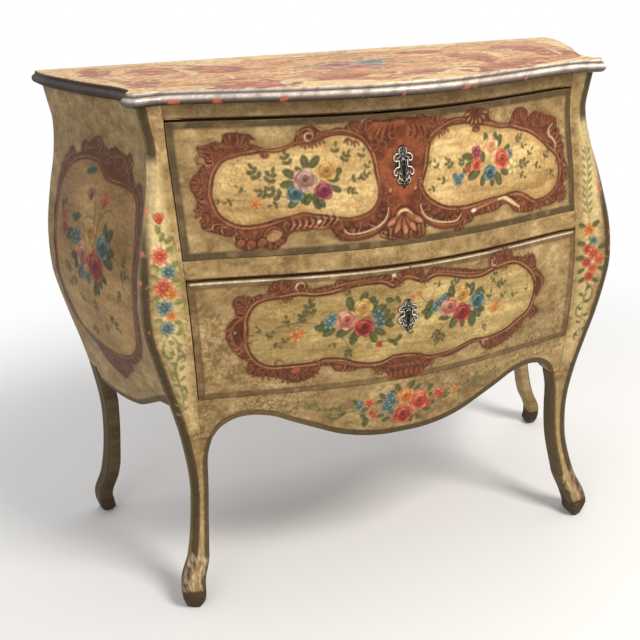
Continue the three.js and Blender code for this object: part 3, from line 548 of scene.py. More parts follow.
def make_front_post(side, node):
    across_count, side_count = 22, 44
    counts = (across_count, side_count)
    rings = []
    for z in steps(0, SHOULDER - .02, POST_PITCH):
        rings.append(front_post_ring(z, leg_inner(z), float(leg_back(z)), LEG_OUTER_CUT, *counts))
    arch_height = float(side_arch(SIDE_ARCH_END))
    for z in steps(SHOULDER, arch_height, POST_PITCH):
        back = float(corner_forward(z)) - LEG_DEPTH
        rings.append(front_post_ring(z, POST_INNER, back, LEG_OUTER_CUT, *counts))
    fade_height = 60
    for z in steps(arch_height + .05, CASE_TOP, POST_PITCH):
        ring = np.array(front_post_ring(z, POST_INNER, POST_BACK, 0, *counts))
        bend = 1 - ease((z - arch_height) / fade_height)
        behind = np.clip(ring[:, 1], POST_BACK, SIDE_ARCH_END)
        ring[:, 2] += (side_arch(behind) - arch_height) * bend
        rings.append(ring)
    rings = np.array(rings)
    on_side = np.zeros(rings.shape[1], bool)
    first_side = across_count + CANT_STEPS
    on_side[first_side:first_side + side_count] = True
    colours = np.ones(rings.shape[:2] + (4,))
    colours[..., :3] = front_paint.at(side * rings[..., 0], rings[..., 2])
    colours[:, on_side, :3] = side_paint.at(rings[:, on_side, 1], rings[:, on_side, 2])
    hidden = (np.arange(rings.shape[1]) >= first_side + side_count) & (rings[..., 2] > SHOULDER)
    colours[hidden] = (*BARE_WOOD, 0)
    rings[..., 0] *= side
    faces = loft_faces(*rings.shape[:2])
    return piece(f"painted_{node}", rings, faces, colours, aged_paint, "case", node)


RUST_DEEP = (48, 23, 14)
RUST_DARK = (76, 37, 21)
RUST = (106, 55, 37)
RUST_LIGHT = (154, 91, 62)
RUST_GLOW = (206, 150, 112)
CREAM = (228, 204, 158)
BAND = (68, 57, 39)
BAND_DARK = (44, 34, 23)
LEAF_DEEP = (46, 55, 33)
LEAF = (82, 91, 52)
LEAF_PALE = (134, 136, 86)
OLIVE = (112, 108, 52)
EYE = (226, 200, 120)
CORAL = ((128, 34, 30), (188, 74, 58), (228, 146, 116))
BRICK = ((98, 28, 24), (158, 54, 42), (208, 116, 90))
SKY = ((32, 50, 60), (72, 102, 112), (148, 170, 162))
ORANGE = ((144, 66, 28), (196, 114, 56), (230, 172, 108))


def curve(points, closed=False, fine=6):
    """Smooth line through points."""
    p = np.asarray(points, float)
    if closed:
        p = np.concatenate([p[-1:], p, p[:2]])
    else:
        p = np.concatenate([[2 * p[0] - p[1]], p, [2 * p[-1] - p[-2]]])
    t = (np.arange(fine) / fine)[None, :, None]
    a, b, c, d = p[:-3, None], p[1:-2, None], p[2:-1, None], p[3:, None]
    line = .5 * (2 * b + (c - a) * t + (2 * a - 5 * b + 4 * c - d) * t**2 + (3 * b - a - 3 * c + d) * t**3)
    line = line.reshape(-1, 2)
    return line if closed else np.concatenate([line, p[-2:-1]])


def arc(x, z, radius, first, last):
    turn = np.radians(np.linspace(first, last, 10))
    return np.stack([x + radius * np.cos(turn), z + radius * np.sin(turn)], 1)


def toward(turn, length):
    """Step of a length in a direction given in degrees."""
    turn = math.radians(turn)
    return np.array([math.cos(turn), math.sin(turn)]) * length


def leaf(canvas, x, z, length, turn, dark=LEAF_DEEP, light=LEAF):
    """Leaf laid in with one full oval touch and a lighter one beside its rib."""
    canvas.dab(x, z, length * 1.08, length * .6, turn, dark, .8)
    aside = toward(turn + 90, length * .09)
    canvas.dab(x + aside[0], z + aside[1], length * .86, length * .34, turn, light, .8)
    half = toward(turn, length * .4)
    canvas.stroke([(x - half[0], z - half[1]), (x + half[0], z + half[1])], length * .06, LEAF_PALE, .45)


def sprig(canvas, x, z, length, turn, pairs=3, colour=(78, 84, 48), size=.36, bend=.12):
    """Small stem with leaves in pairs."""
    base = np.array([x, z], float)
    middle = base + toward(turn, length * .5) + toward(turn + 90, length * bend)
    line = curve([base, middle, base + toward(turn, length)])
    canvas.stroke(line, max(length * .06, 1.1), colour, .8, 1, .3)
    for i in range(pairs):
        joint = line[int((i + .6) / (pairs + .3) * (len(line) - 1))]
        for side in (-1, 1):
            lean = turn + side * 50
            middle = joint + toward(lean, length * size * .55)
            canvas.dab(*middle, length * size, length * size * .66, lean, colour, .8)
    middle = line[-1] + toward(turn, length * size * .4)
    canvas.dab(*middle, length * size, length * size * .56, turn, colour, .78)


def bloom(canvas, x, z, radius, colours, petals=5, turn=18, eye=EYE):
    """Open flower of round petals."""
    deep, mid, light = colours
    wide = min(5 / petals, 1) * radius
    for i in range(petals):
        lean = turn + 360 * i / petals
        root = np.array([x, z]) + toward(lean, radius * .56)
        canvas.dab(*root, radius * 1.06, wide * .98, lean, deep, .6)
        canvas.dab(*(root + toward(lean, radius * .06)), radius * .94, wide * .78, lean, mid, .85)
        canvas.dab(*(root + toward(lean, radius * .24)), radius * .46, wide * .5, lean, light, .7)
    canvas.dab(x, z, radius * .5, radius * .5, 0, deep, .7)
    canvas.dab(x, z, radius * .26, radius * .26, 0, eye, .7)


def bud(canvas, x, z, length, turn, colours, fans=3):
    """Tulip or bud: a fan of pointed strokes."""
    deep, mid, light = colours
    for i in range(fans):
        lean = turn + (i - (fans - 1) / 2) * 78 / fans
        middle = np.array([x, z]) + toward(lean, length * .5)
        canvas.dab(*middle, length * 1.08, length * .5, lean, deep, .8)
        canvas.dab(*(middle + toward(lean, length * .06)), length * .86, length * .34, lean, mid, .85)
        canvas.dab(*(middle + toward(lean, length * .22)), length * .4, length * .18, lean, light, .7)


# Bands on the corner and the inner edge of each leg, a painted highlight along the arris, and the worn foot
BAND_WIDTH = 13.5
ARRIS_HIGHLIGHT = (158, 146, 112)
ANKLE_STRIP = (176, 156, 112)
GESSO_WORN = (212, 196, 174)
WOOD_WORN = (178, 146, 116)
FOOT_BROWN = (52, 41, 29)
for side in (1, -1):
    heights = steps(0, CASE_TOP, 5)
    arris = corner_x(heights)
    band_edges = [line_of(side * (arris + 3), heights), line_of(side * (arris - BAND_WIDTH), heights)[::-1]]
    front_paint.area(np.concatenate(band_edges), BAND, .9)
    # The last stroke is a painted highlight: a thin pale line where light catches the arris.
    for inset, width, tone, strength, soft in (
            (7, 9, BAND_DARK, .45, 3), (BAND_WIDTH, 1.6, BAND_DARK, .55, 0), (1, 2.2, ARRIS_HIGHLIGHT, .5, 0)):
        front_paint.stroke(line_of(side * (arris - inset), heights), width, tone, strength, 1, 1, soft)
    leg_heights = steps(0, SHOULDER, 5)
    inner = np.array([leg_inner(z) for z in leg_heights])
    front_paint.stroke(line_of(side * (inner + 3), leg_heights), 12, BAND, .9, 1, 1, 2)
    ankle = (leg_heights > 60) & (leg_heights < 270)
    strip = line_of(side * (inner + 13), leg_heights)[ankle]
    front_paint.stroke(strip, 5, ANKLE_STRIP, .45, .6, .4, 2)
    random = np.random.default_rng(5)
    for _ in range(70):
        z = random.uniform(36, 92)
        x = side * (float(corner_x(z)) - random.uniform(2, 34))
        worn = GESSO_WORN if random.random() < .6 else WOOD_WORN
        length, width, turn = random.uniform(5, 16), random.uniform(2, 4), random.uniform(74.5, 103)
        front_paint.dab(x, z, length, width, turn, worn, .5 if side < 0 else .32)
    front_paint.area([(side * 310, 0), (side * 400, 0), (side * 400, 33), (side * 310, 31)], FOOT_BROWN, .92)

# Garland down each stile on a paler strip of ground, its upper part paler still, partly as painted light, and
# the chips in the corner bands
for side in (1, -1):
    pale_strip = curve(np.array([(352, 735), (358, 660), (358, 560), (352, 440), (338, 330)]) * (side, 1))
    front_paint.stroke(pale_strip, 34, (236, 212, 152), .55, .7, .5, 13)
    # Paler again on the upper part of each strip: partly paler ground, partly painted light on the upper
    # stile.
    front_paint.stroke(pale_strip[:len(pale_strip) * 2 // 3], 30, (238, 216, 160), .4, .5, .3, 12)
LEFT_BLOOMS = [
    (-360, 614, 12, CORAL, 8), (-351, 590, 11, SKY, 7), (-361, 569, 14, CORAL, 9), (-350, 558, 9, ORANGE, 7),
    (-363, 539, 12, SKY, 7), (-354, 525, 8, ORANGE, 6), (-363, 507, 11, SKY, 7)]
LEFT_LEAVES = [
    (-358, 652, 12, 100), (-353, 640, 11, 60), (-343, 636, 12, 20), (-345, 622, 11, 200),
    (-368, 600, 11, 150), (-340, 600, 12, 30), (-342, 578, 11, -20), (-372, 586, 11, 160),
    (-374, 555, 11, 200), (-341, 545, 12, 10), (-346, 514, 11, -30), (-374, 522, 10, 170),
    (-345, 498, 12, 40)]
RIGHT_BLOOMS = [
    (353, 568, 11, ORANGE, 7), (362, 549, 8, SKY, 6), (352, 535, 9, BRICK, 6), (363, 527, 11, CORAL, 7),
    (374, 515, 9, CORAL, 6), (351, 512, 9, BRICK, 6), (363, 500, 9, CORAL, 6), (358, 486, 9, BRICK, 6)]
for x, z, radius, *_ in LEFT_BLOOMS + RIGHT_BLOOMS:
    for lean in (-1, 1):
        curl = arc(x + lean * radius * 1.25, z - radius * .3, radius * .75, 90 - lean * 50, 90 + lean * 170)
        front_paint.stroke(curl, 2.6, OLIVE, .8, .6, .3)
        front_paint.stroke(curl + (.5, .5), 1, (206, 194, 118), .7, .6, .3)
RIGHT_LEAVES = [
    (342, 575, 11, 150), (366, 578, 11, 30), (340, 545, 12, 170), (378, 538, 11, 20), (339, 520, 12, 190),
    (380, 498, 11, -20), (342, 497, 11, 210), (345, 480, 10, 220), (370, 478, 11, -30)]
front_paint.pull([(-352, 664), (-356, 630), (-352, 600), (-360, 540), (-358, 500)], 1.6, LEAF, .7, 1, 1)
bud(front_paint, -354, 660, 15, 90, CORAL)
for x, z, length, turn in LEFT_LEAVES:
    leaf(front_paint, x, z, length * 1.1, turn, LEAF, LEAF_PALE)
    leaf(front_paint, x + 4, z - 7, length * .9, turn + 60, OLIVE, (196, 186, 112))
for x, z, radius, colours, petals in LEFT_BLOOMS:
    bloom(front_paint, x, z, radius, colours, petals, 10 + z)
for points in ([(-363, 495), (-371, 484), (-372, 468), (-364, 458), (-358, 468), (-362, 477)],
               [(-358, 494), (-350, 480), (-351, 460), (-358, 440), (-355, 415), (-350, 390), (-352, 372)],
               [(-351, 470), (-343, 462), (-342, 452), (-348, 448)],
               [(-357, 440), (-364, 430), (-362, 420), (-357, 424)],
               [(-353, 410), (-345, 402), (-345, 392), (-350, 392)]):
    front_paint.pull(points, 4, LEAF, .75, .5, .4, 1)
    front_paint.stroke(curve(points) + (.8, .8), 1.4, LEAF_PALE, .7, .5, .4)
for i, z in enumerate(range(484, 352, -9)):
    leaf(front_paint, -354 - 6 * (-1) ** i, z, 11 - i * .2, 90 + 52 * (-1) ** i, LEAF, LEAF_PALE)
front_paint.pull([(350, 702), (354, 660), (351, 620), (354, 570), (358, 500), (353, 440), (352, 390),
    (356, 355)], 1.6, LEAF, .7, 1, .5)
for i, z in enumerate(range(696, 590, -12)):
    for lean in (-1, 1):
        front_paint.dab(352 + lean * 5, z, 11 + i * .3, 3.2, 90 - lean * 38, (84, 86, 48), .8, True)
for x, z, length, turn in RIGHT_LEAVES:
    leaf(front_paint, x, z, length * 1.3, turn)
for x, z, radius, colours, petals in RIGHT_BLOOMS:
    bloom(front_paint, x, z, radius, colours, petals, 10 + z)
for points in ([(355, 474), (366, 462), (366, 446), (356, 440), (352, 448), (358, 454)],
               [(352, 440), (342, 430), (342, 416), (350, 410), (354, 416)],
               [(353, 408), (362, 398), (362, 386), (355, 382)], [(352, 386), (344, 376), (346, 364)]):
    front_paint.pull(points, 3.6, LEAF_DEEP, .7, .5, .4, 1)
    front_paint.stroke(curve(points) + (.8, .8), 1.3, LEAF_PALE, .6, .5, .4)
for i, z in enumerate(range(466, 372, -13)):
    lean = (-1) ** i
    leaf(front_paint, 353 + lean * 6, z, 10 - i * .4, 90 - lean * 55, LEAF_DEEP, LEAF)
for x, z, length, turn in ((-370, 677, 11, 60), (-384, 620, 9, 80), (-393, 580, 8, 95), (-390, 505, 5, 90),
                           (372, 645, 10, 100), (376, 632, 9, 110), (392, 560, 6, 90), (394, 532, 8, 85)):
    front_paint.dab(x, z, length, length * .5, turn, (214, 96, 84), .9)
    front_paint.dab(x + 1, z + 1, length * .4, length * .2, turn, (240, 180, 164), .8)


def side_bands(canvas):
    """Dark lining of the side: its shaped lower edge, the front arris and the legs."""
    forward = steps(SIDE_ARCH_START, SIDE_ARCH_END, 4)
    canvas.stroke(line_of(forward, side_arch(forward) + 3), 13, BAND, .85, 1, 1, 2)
    heights = steps(SIDE_SHOULDER, CASE_TOP, 5)
    paint(canvas, [
        (stroke, line_of(corner_forward(heights) - 1, heights), 5, BAND, .7, 1, 1, 1.5),
        (stroke, line_of(9, heights), 7, BAND, .7, 1, 1, 3),
        (area, [(0, 0), (60, 0), (60, 306), (30, 316), (0, 316)], (62, 50, 36), .88),
        (area, [(300, 0), (396, 0), (396, 300), (345, 352), (335, 350), (300, 300)], (70, 58, 42), .88),
        (area, [(0, 0), (396, 0), (396, 33), (0, 31)], (50, 39, 28), .9)])


side_bands(side_paint)

# Cartouche of the side, painted over the panel and both posts
def edge_line(line, distance):
    """Closed line moved outward by a distance."""
    along = unit(np.roll(line, -1, 0) - np.roll(line, 1, 0))
    turn = np.sign(np.sum(line[:, 0] * np.roll(line[:, 1], -1) - line[:, 1] * np.roll(line[:, 0], -1)))
    return line + np.stack([along[:, 1], -along[:, 0]], 1) * turn * distance


def ring(line):
    return np.concatenate([line, line[:1]])


def unit(vectors):
    return vectors / np.maximum(np.linalg.norm(vectors, axis=1, keepdims=True), 1e-6)


def run_along(line):
    """Distance run from the start of a line to each of its points."""
    return np.concatenate([[0], np.cumsum(np.linalg.norm(np.diff(line, axis=0), axis=1))])


def rail(canvas, points, width, dark=RUST_DEEP, mid=RUST, light=RUST_GLOW):
    """Raised-looking scroll or moulding: a dark pull, a lighter one on it and a lit line above."""
    line = curve(points)
    canvas.stroke(line, width, dark, .7, .4, .3, 1.4)
    canvas.stroke(line, width * .62, mid, .9, .4, .3, 1.2)
    canvas.stroke(line + (0, width * .14), width * .24, light, .7, .3, .2, .6)


def scroll_ground(canvas, outer, seed):
    """Red-brown body of a cartouche, brushed in two tones inside its outline."""
    line = curve(outer, True)
    paint(canvas, [
        (stroke, ring(line), 12, (120, 92, 58), .3, 1, 1, 7), (area, line, RUST),
        (area, line, RUST_DARK, canvas.patch(14, seed, .35, .4) * .8),
        (area, line, RUST_LIGHT, canvas.patch(9, seed + 1, .6, .3) * .55),
        (stroke, ring(line), 3, RUST_DEEP, .5, 1, 1, 1.6),
        (stroke, ring(edge_line(line, -3)), 1.6, RUST_LIGHT, .4, 1, 1, 1)])
    return line


def leafing(canvas, outer_line, field_line, step, seed):
    """Leaf strokes curling from the outer edge towards the field."""
    random = np.random.default_rng(seed)
    run = run_along(outer_line)
    for place in np.arange(0, run[-1], step):
        i = min(int(np.searchsorted(run, place)), len(outer_line) - 1)
        at = outer_line[i]
        gaps = np.linalg.norm(field_line - at, axis=1)
        width = gaps.min()
        if width < 8:
            continue
        inward = (field_line[gaps.argmin()] - at) / width
        along = np.array([-inward[1], inward[0]]) * (1 if random.random() < .7 else -1)
        reach = width * random.uniform(.5, .75)
        belly = at + inward * reach * .5 + along * reach * .3
        mark = curve([at + inward * 1.5, belly, at + inward * reach - along * 2])
        canvas.stroke(mark, random.uniform(2, 3.2), RUST_DEEP, .75, .9, .2)
        width, tone = random.uniform(1.4, 2.2), RUST_LIGHT if random.random() < .6 else RUST_GLOW
        canvas.stroke(mark + along * 2.4, width, tone, .7, .5, .2)


def reserve(canvas, field, ground):
    """Pale field inside a cartouche, with the moulded line that frames it."""
    line = curve(field, True)
    worn = .35 + .65 * canvas.patch(40, 7, .3, .3)
    paint(canvas, [
        (stroke, ring(edge_line(line, 6)), 2, RUST_DEEP, .5 * worn, 1, 1, 1),
        (stroke, ring(edge_line(line, 4)), 2.6, RUST_LIGHT, .75 * worn, 1, 1, .8),
        (stroke, ring(edge_line(line, 4.4)), 1, RUST_GLOW, .7 * worn, 1, 1), (area, line, ground),
        (stroke, ring(edge_line(line, -3)), 7, (142, 104, 62), .3, 1, 1, 5),
        (stroke, ring(line), 2, RUST_DEEP, .3 + .5 * worn, 1, 1, .8)])
    return line


def field_ground(canvas, pale, mid, dark, seed):
    """Smoother ground of the fields, brushed along."""
    tone = .3 * canvas.cloud(60, seed, 1.5) + .28 * canvas.cloud(14, seed + 1, 3)
    tone = tone + .24 * canvas.cloud(3, seed + 2, 7) + .18 * canvas.cloud(2, seed + 3)
    mixed = np.asarray(mid) + (np.asarray(pale) - mid) * ease((tone - .46) / .3)[..., None]
    return mixed + (np.asarray(dark) - mixed) * ease((.5 - tone) / .34)[..., None]


SIDE_OUTER = [
    (50, 666), (54, 693), (62, 700), (69, 710), (80, 716), (87, 727), (100, 729), (110, 722), (127, 724),
    (130, 738), (140, 745), (154, 743), (166, 750), (181, 756), (192, 755), (204, 743), (220, 741),
    (230, 747), (245, 741), (262, 738), (269, 743), (276, 738), (275, 726), (285, 708), (296, 697),
    (304, 704), (316, 700), (325, 688), (335, 678), (340, 660), (346, 648), (345, 620), (350, 600),
    (343, 570), (346, 548), (338, 528), (340, 505), (330, 480), (318, 455), (300, 432), (277, 413),
    (258, 402), (244, 396), (244, 386), (230, 376), (215, 368), (205, 357), (190, 351), (172, 354),
    (158, 358), (140, 366), (128, 376), (118, 390), (100, 398), (84, 404), (66, 412), (48, 424), (38, 438),
    (30, 458), (38, 480), (34, 510), (42, 532), (38, 560), (46, 590), (42, 618), (48, 640)]
SIDE_FIELD = [
    (58, 628), (62, 655), (73, 678), (96, 701), (123, 712), (154, 718), (181, 716), (200, 705), (215, 695),
    (250, 693), (285, 689), (304, 678), (315, 655), (323, 620), (327, 575), (327, 532), (324, 510),
    (319, 493), (300, 455), (269, 424), (231, 408), (185, 401), (135, 405), (88, 414), (66, 435), (54, 474),
    (52, 532), (54, 589)]
PINK = ((112, 46, 40), (180, 110, 92), (226, 180, 154))
CRIMSON = ((74, 20, 22), (134, 40, 40), (190, 96, 84))
GOLD = ((120, 80, 36), (182, 138, 74), (220, 188, 124))
TEAL = ((26, 46, 54), (60, 92, 100), (132, 158, 150))


def rose(canvas, x, z, radius, colours, turn=20):
    """Full rose: five loose outer petals round a cupped heart."""
    deep, mid, light = (np.array(colour, float) for colour in colours)
    for i in range(5):
        lean = turn + 72 * i
        root = np.array([x, z]) + toward(lean, radius * .5)
        tone = mid * .65 + light * .35 if i % 2 else mid * .8 + deep * .2
        paint(canvas, [
            (dab, *root, radius * 1.2, radius * 1.12, lean, mid * .7 + deep * .3, .75),
            (dab, *(root + toward(lean, radius * .05)), radius * 1.06, radius, lean, tone, .9),
            (stroke, arc(x, z, radius * .92, lean - 28, lean + 26), radius * .2, light, .8),
            (stroke, arc(x, z, radius * .8, lean + 24, lean + 52), radius * .16, deep, .5)])
    paint(canvas, [
        (dab, x, z - radius * .04, radius * 1.2, radius * 1.1, 0, mid * .8 + deep * .2),
        (stroke, arc(x, z, radius * .56, 195, 345), radius * .22, deep, .55),
        (stroke, arc(x, z, radius * .56, 40, 180), radius * .2, light, .85),
        (stroke, arc(x, z, radius * .36, 10, 250), radius * .2, deep, .65),
        (stroke, arc(x, z, radius * .36, 90, 200), radius * .12, light, .75),
        (dab, x + radius * .04, z - radius * .02, radius * .46, radius * .4, 0, deep, .95)])


def paint_side(canvas):
    ground = field_ground(canvas, (198, 162, 106), (164, 128, 80), (130, 98, 58), 71)
    outer = scroll_ground(canvas, SIDE_OUTER, 75)
    canvas.between(outer, curve(SIDE_FIELD, True), RUST_DEEP, .35)
    leafing(canvas, outer, curve(SIDE_FIELD, True), 8, 76)
    reserve(canvas, SIDE_FIELD, ground)
    for points, width in (
            ([(50, 672), (66, 700), (92, 716), (120, 722)], 5), ([(134, 738), (158, 734), (182, 742)], 5),
            ([(196, 738), (220, 730), (244, 734), (264, 728)], 5), ([(280, 700), (308, 692), (328, 672)], 5),
            ([(336, 650), (338, 610), (336, 560)], 5), ([(120, 388), (146, 374), (176, 366)], 5),
            ([(186, 364), (212, 380), (236, 390)], 5), ([(60, 420), (44, 444), (42, 474)], 6),
            ([(70, 440), (58, 458), (62, 478), (76, 470)], 4)):
        rail(canvas, points, width)
    for x in range(130, 236, 12):
        canvas.stroke([(182, 398), (x, 362 + abs(x - 182) * .3)], 3, RUST_DEEP, .6, .3, .8)
        canvas.stroke([(184, 398), (x + 4, 364 + abs(x - 182) * .3)], 1.8, RUST_GLOW, .55, .3, .8)
    stem = (84, 84, 44)
    for points in (
            [(203, 590), (200, 622), (196, 655), (194, 668)],
            [(204, 600), (196, 628), (180, 633), (166, 626), (164, 616)],
            [(208, 600), (213, 628), (227, 648), (242, 653), (254, 645), (252, 638)],
            [(206, 606), (214, 634), (220, 655)], [(186, 615), (178, 606), (172, 596)]):
        canvas.pull(points, 2.4, stem, .8, .9, .5)
    paint(canvas, [
        (bud, 180, 660, 17, 100, ((96, 34, 44), (150, 76, 76), (206, 150, 140)), 5),
        (bud, 220, 656, 19, 78, ((136, 48, 34), (196, 92, 62), (224, 150, 110)), 5),
        (bloom, 169, 704, 8, TEAL)])
    for x, z, length, turn in (
            (142, 626, 13, 20), (132, 622, 12, 160), (123, 594, 18, 170), (114, 588, 14, 200),
            (248, 614, 18, 50), (236, 620, 14, 100), (250, 576, 22, -25), (256, 590, 16, 10),
            (135, 560, 16, 190), (144, 548, 14, 220), (156, 536, 15, 230), (184, 534, 14, 250),
            (214, 526, 18, 280), (206, 518, 14, 240), (236, 546, 15, -30), (226, 536, 13, -60),
            (78, 634, 10, 120), (90, 640, 9, 40), (176, 704, 10, 20), (160, 700, 9, 200)):
        leaf(canvas, x, z, length * 1.55, turn, (32, 42, 28), (62, 74, 46))
    paint(canvas, [
        (bloom, 88, 618, 11, BRICK), (bloom, 95, 598, 12, CRIMSON), (bloom, 146, 594, 15, SKY),
        (bloom, 132, 590, 11, TEAL), (rose, 190, 611, 18, GOLD), (rose, 232, 594, 19, TEAL),
        (rose, 166, 568, 22, PINK), (rose, 211, 559, 25, CRIMSON), (bloom, 160, 540, 12, TEAL),
        (bloom, 184, 534, 11, SKY)])
    for x, z, length, turn in (
            (119, 530, 16, 160), (140, 522, 16, 200), (196, 501, 18, 250), (230, 482, 20, -40),
            (162, 436, 16, 200), (198, 445, 12, 30), (285, 562, 16, 10), (296, 574, 12, 80),
            (322, 566, 12, 0), (118, 508, 12, 190), (286, 540, 12, 250), (156, 486, 12, 160)):
        sprig(canvas, x, z, length * 1.4, turn, 2, (60, 62, 36), .44)
    for x, z in ((164, 464), (181, 472), (198, 478)):
        canvas.dab(x, z, 15, 8, 22.9, (196, 118, 70), .7, True)


paint_side(side_paint)
# Painted shade: a thin dark wash over the whole side.
SIDE_SHADE = (50, 40, 26)
side_paint.wash(np.full(side_paint.rgb.shape[:2], .16), SIDE_SHADE)

HANDS = ((1, "right"), (-1, "left"))
for side, hand in HANDS:
    make_front_post(side, f"{hand}_front_post")

# Back posts
# The same leg and swell in a plainer plank, left flat towards the wall. A rebate behind takes
# the back boards; only the outer side and the foot are painted.
BACK_INNER = 430
BACK_LEG_MOST_WIDTH = 33
BACK_BOTTOM = 317.7
REBATE_END = 438.3
REBATE_FORWARD = 18.3
CASE_CORNER_CUT = 3
BACK_SIDE_STEPS = 16
BACK_PITCH = 2.5
PAINTED_FOOT = 34


def back_post_ring(z, is_leg):
    turn = LEG_CORNER_CUT if is_leg else 0
    width = min(leg_width(z), BACK_LEG_MOST_WIDTH)
    inner = float(side_x(CASE_BACK_FORWARD, z)) - width if is_leg else BACK_INNER
    front = CASE_BACK_FORWARD + width if is_leg else SIDE_ARCH_START
    small = CASE_CORNER_CUT
    back = CASE_BACK_FORWARD
    side_forward = np.linspace(back + small, front - turn, BACK_SIDE_STEPS)
    ring = [*zip(side_x(side_forward, z), side_forward)]
    ring += [(float(side_x(front, z)) - turn, front), (inner + small, front), (inner, front - small)]
    if is_leg:
        middle = (front + back) / 2
        ring += [(inner, middle), (inner, back + small), (inner + small, back)]
    else:
        ring += [(inner, REBATE_FORWARD), (REBATE_END, REBATE_FORWARD), (REBATE_END, back)]
    ring += [(float(side_x(back, z)) - small, back)]
    return [(across, forward, z) for across, forward in ring]


def make_back_post(side, node):
    rings = [back_post_ring(z, True) for z in steps(0, BACK_BOTTOM - 1, BACK_PITCH)]
    rings += [back_post_ring(z, False) for z in steps(BACK_BOTTOM, CASE_TOP, BACK_PITCH)]
    rings = np.array(rings)
    heights, around = rings[..., 2], np.arange(rings.shape[1])
    colours = np.ones(rings.shape[:2] + (4,))
    colours[..., :3] = side_paint.at(rings[..., 1], rings[..., 2])
    inward = (around >= BACK_SIDE_STEPS) & (heights < BACK_BOTTOM) & (heights > PAINTED_FOOT)
    # Painted shade: the inner faces of the left back leg take half their colour, those of the right one nine
    # tenths.
    worn = .9 if side > 0 else .5
    colours[inward, :3] = front_paint.at(60 + rings[inward, 1] * .5, rings[inward, 2] * .8) * worn
    hidden = (around > BACK_SIDE_STEPS) & (heights > BACK_BOTTOM)
    colours[hidden] = (*BARE_WOOD, 0)
    rings[..., 0] *= side
    faces = loft_faces(*rings.shape[:2])
    return piece(f"painted_{node}", rings, faces, colours, aged_paint, "case", node)


for side, hand in HANDS:
    make_back_post(side, f"{hand}_back_post")

# Side panels
# Swelling boards glued up from thick staves between the posts, with a shaped lower edge. The
# painted cartouche runs over them and over the posts.
SIDE_THICKNESS = 18
SIDE_PITCH = 2.1
PLATE_LIP = 1.2


def plate(name, front, back, colours, material, body, node, cell=8, soft=.6):
    """Board with a finely shaped face; its edges and its plain back are bare wood."""
    front, back = np.array(front, float), np.array(back, float)
    rows, cols = front.shape[:2]
    inward = back - front
    inward /= np.linalg.norm(inward, axis=2, keepdims=True)
    weight = np.zeros((rows, cols, 1))
    for distance, amount in ((1, .25), (0, 1)):
        weight[distance], weight[rows - 1 - distance] = amount, amount
        weight[:, distance], weight[:, cols - 1 - distance] = amount, amount
    front += inward * soft * weight
    rim = [(0, c) for c in range(cols)] + [(r, cols - 1) for r in range(1, rows)]
    rim += [(rows - 1, c) for c in range(cols - 2, -1, -1)] + [(r, 0) for r in range(rows - 2, 0, -1)]
    rim_r, rim_c = np.array(rim).T
    count = rows * cols
    lip = front[rim_r, rim_c] + inward[rim_r, rim_c] * PLATE_LIP
    inner = [(r, c) for r in range(cell, rows - 1, cell) for c in range(cell, cols - 1, cell)]
    inner_points = [back[r, c] for r, c in inner]
    behind = np.concatenate([back[rim_r, rim_c], np.reshape(inner_points, (-1, 3))])
    points = np.concatenate([front.reshape(-1, 3), lip, behind])
    grid = np.arange(count).reshape(rows, cols)
    faces = grid_faces(grid)
    total = len(rim)
    front_rim = [int(grid[r, c]) for r, c in rim]
    for i in range(total):
        j = (i + 1) % total
        faces.append([front_rim[j], front_rim[i], count + i, count + j])
        faces.append([count + j, count + i, count + total + i, count + total + j])
    known = {spot: count + total + i for i, spot in enumerate(rim)}
    known.update({spot: count + 2 * total + i for i, spot in enumerate(inner)})
    for r0 in range(0, rows - 1, cell):
        for c0 in range(0, cols - 1, cell):
            r1, c1 = r0 + cell, c0 + cell
            loop = [(r0, c) for c in range(c0, c1)] + [(r, c1) for r in range(r0, r1)]
            loop += [(r1, c) for c in range(c1, c0, -1)] + [(r, c0) for r in range(r1, r0, -1)]
            faces.append([known[spot] for spot in loop if spot in known][::-1])
    colour = np.ones((len(points), 4))
    colour[:, :3] = BARE_WOOD
    colour[count:, 3] = 0
    colour[:count, :3] = np.reshape(colours, (-1, 3))
    return piece(name, points, faces, colour, material, body, node)


def cells_for(length, pitch, cell=8):
    """Row count for a length: a whole number of cells of steps no longer than the pitch."""
    return int(math.ceil(length / pitch / cell)) * cell + 1


def make_side_panel(side, node):
    start, end = SIDE_ARCH_START + FIT_GAP, POST_BACK - FIT_GAP
    forward = np.linspace(start, end, cells_for(end - start, SIDE_PITCH))
    up = np.linspace(0, 1, cells_for(CASE_TOP - LOWER_SILL + SIDE_ARCH_DROP, SIDE_PITCH))
    edge = side_arch(forward)[None, :]
    z = edge + (CASE_TOP - edge) * up[:, None]
    across = np.broadcast_to(forward[None, :], z.shape)
    outer = side_x(across, z)
    face = np.stack([side * outer, across, z], -1)
    behind = np.stack([side * (outer - SIDE_THICKNESS), across, z], -1)
    plate(f"painted_{node}", face, behind, side_paint.at(across, z), aged_paint, "case", node)


for side, hand in HANDS:
    make_side_panel(side, f"{hand}_side_panel")

# Front rails
# The top rail and the rail between the drawers are bowed boards tenoned into the stiles. A painted
# face lies over each; the rest is bare, with the mortises for the lock bolts.
RAIL_HALF = POST_INNER - FIT_GAP
RAIL_PITCH = 1.6
RAIL_PROUD = .75
bowed_paint = painted_finish("aged_ochre_paint_bowed", crackle=.85, gloss=.46, grain_axis=0)
FACE_DEPTH = 2.6
SLAB_SHADE = (66, 48, 28)
under_slab = .34 * ease((front_paint.up - 786) / 26)[:, None] * np.ones(len(front_paint.across))
front_paint.wash(under_slab, SLAB_SHADE)
GAP_SHADE = (34, 23, 14)
for edge in (TOP_RAIL_UNDERSIDE, DIVIDER_UNDERSIDE):
    front_paint.stroke([(-RAIL_HALF, edge + .6), (RAIL_HALF, edge + .6)], 2.6, GAP_SHADE, .85, 1, 1)


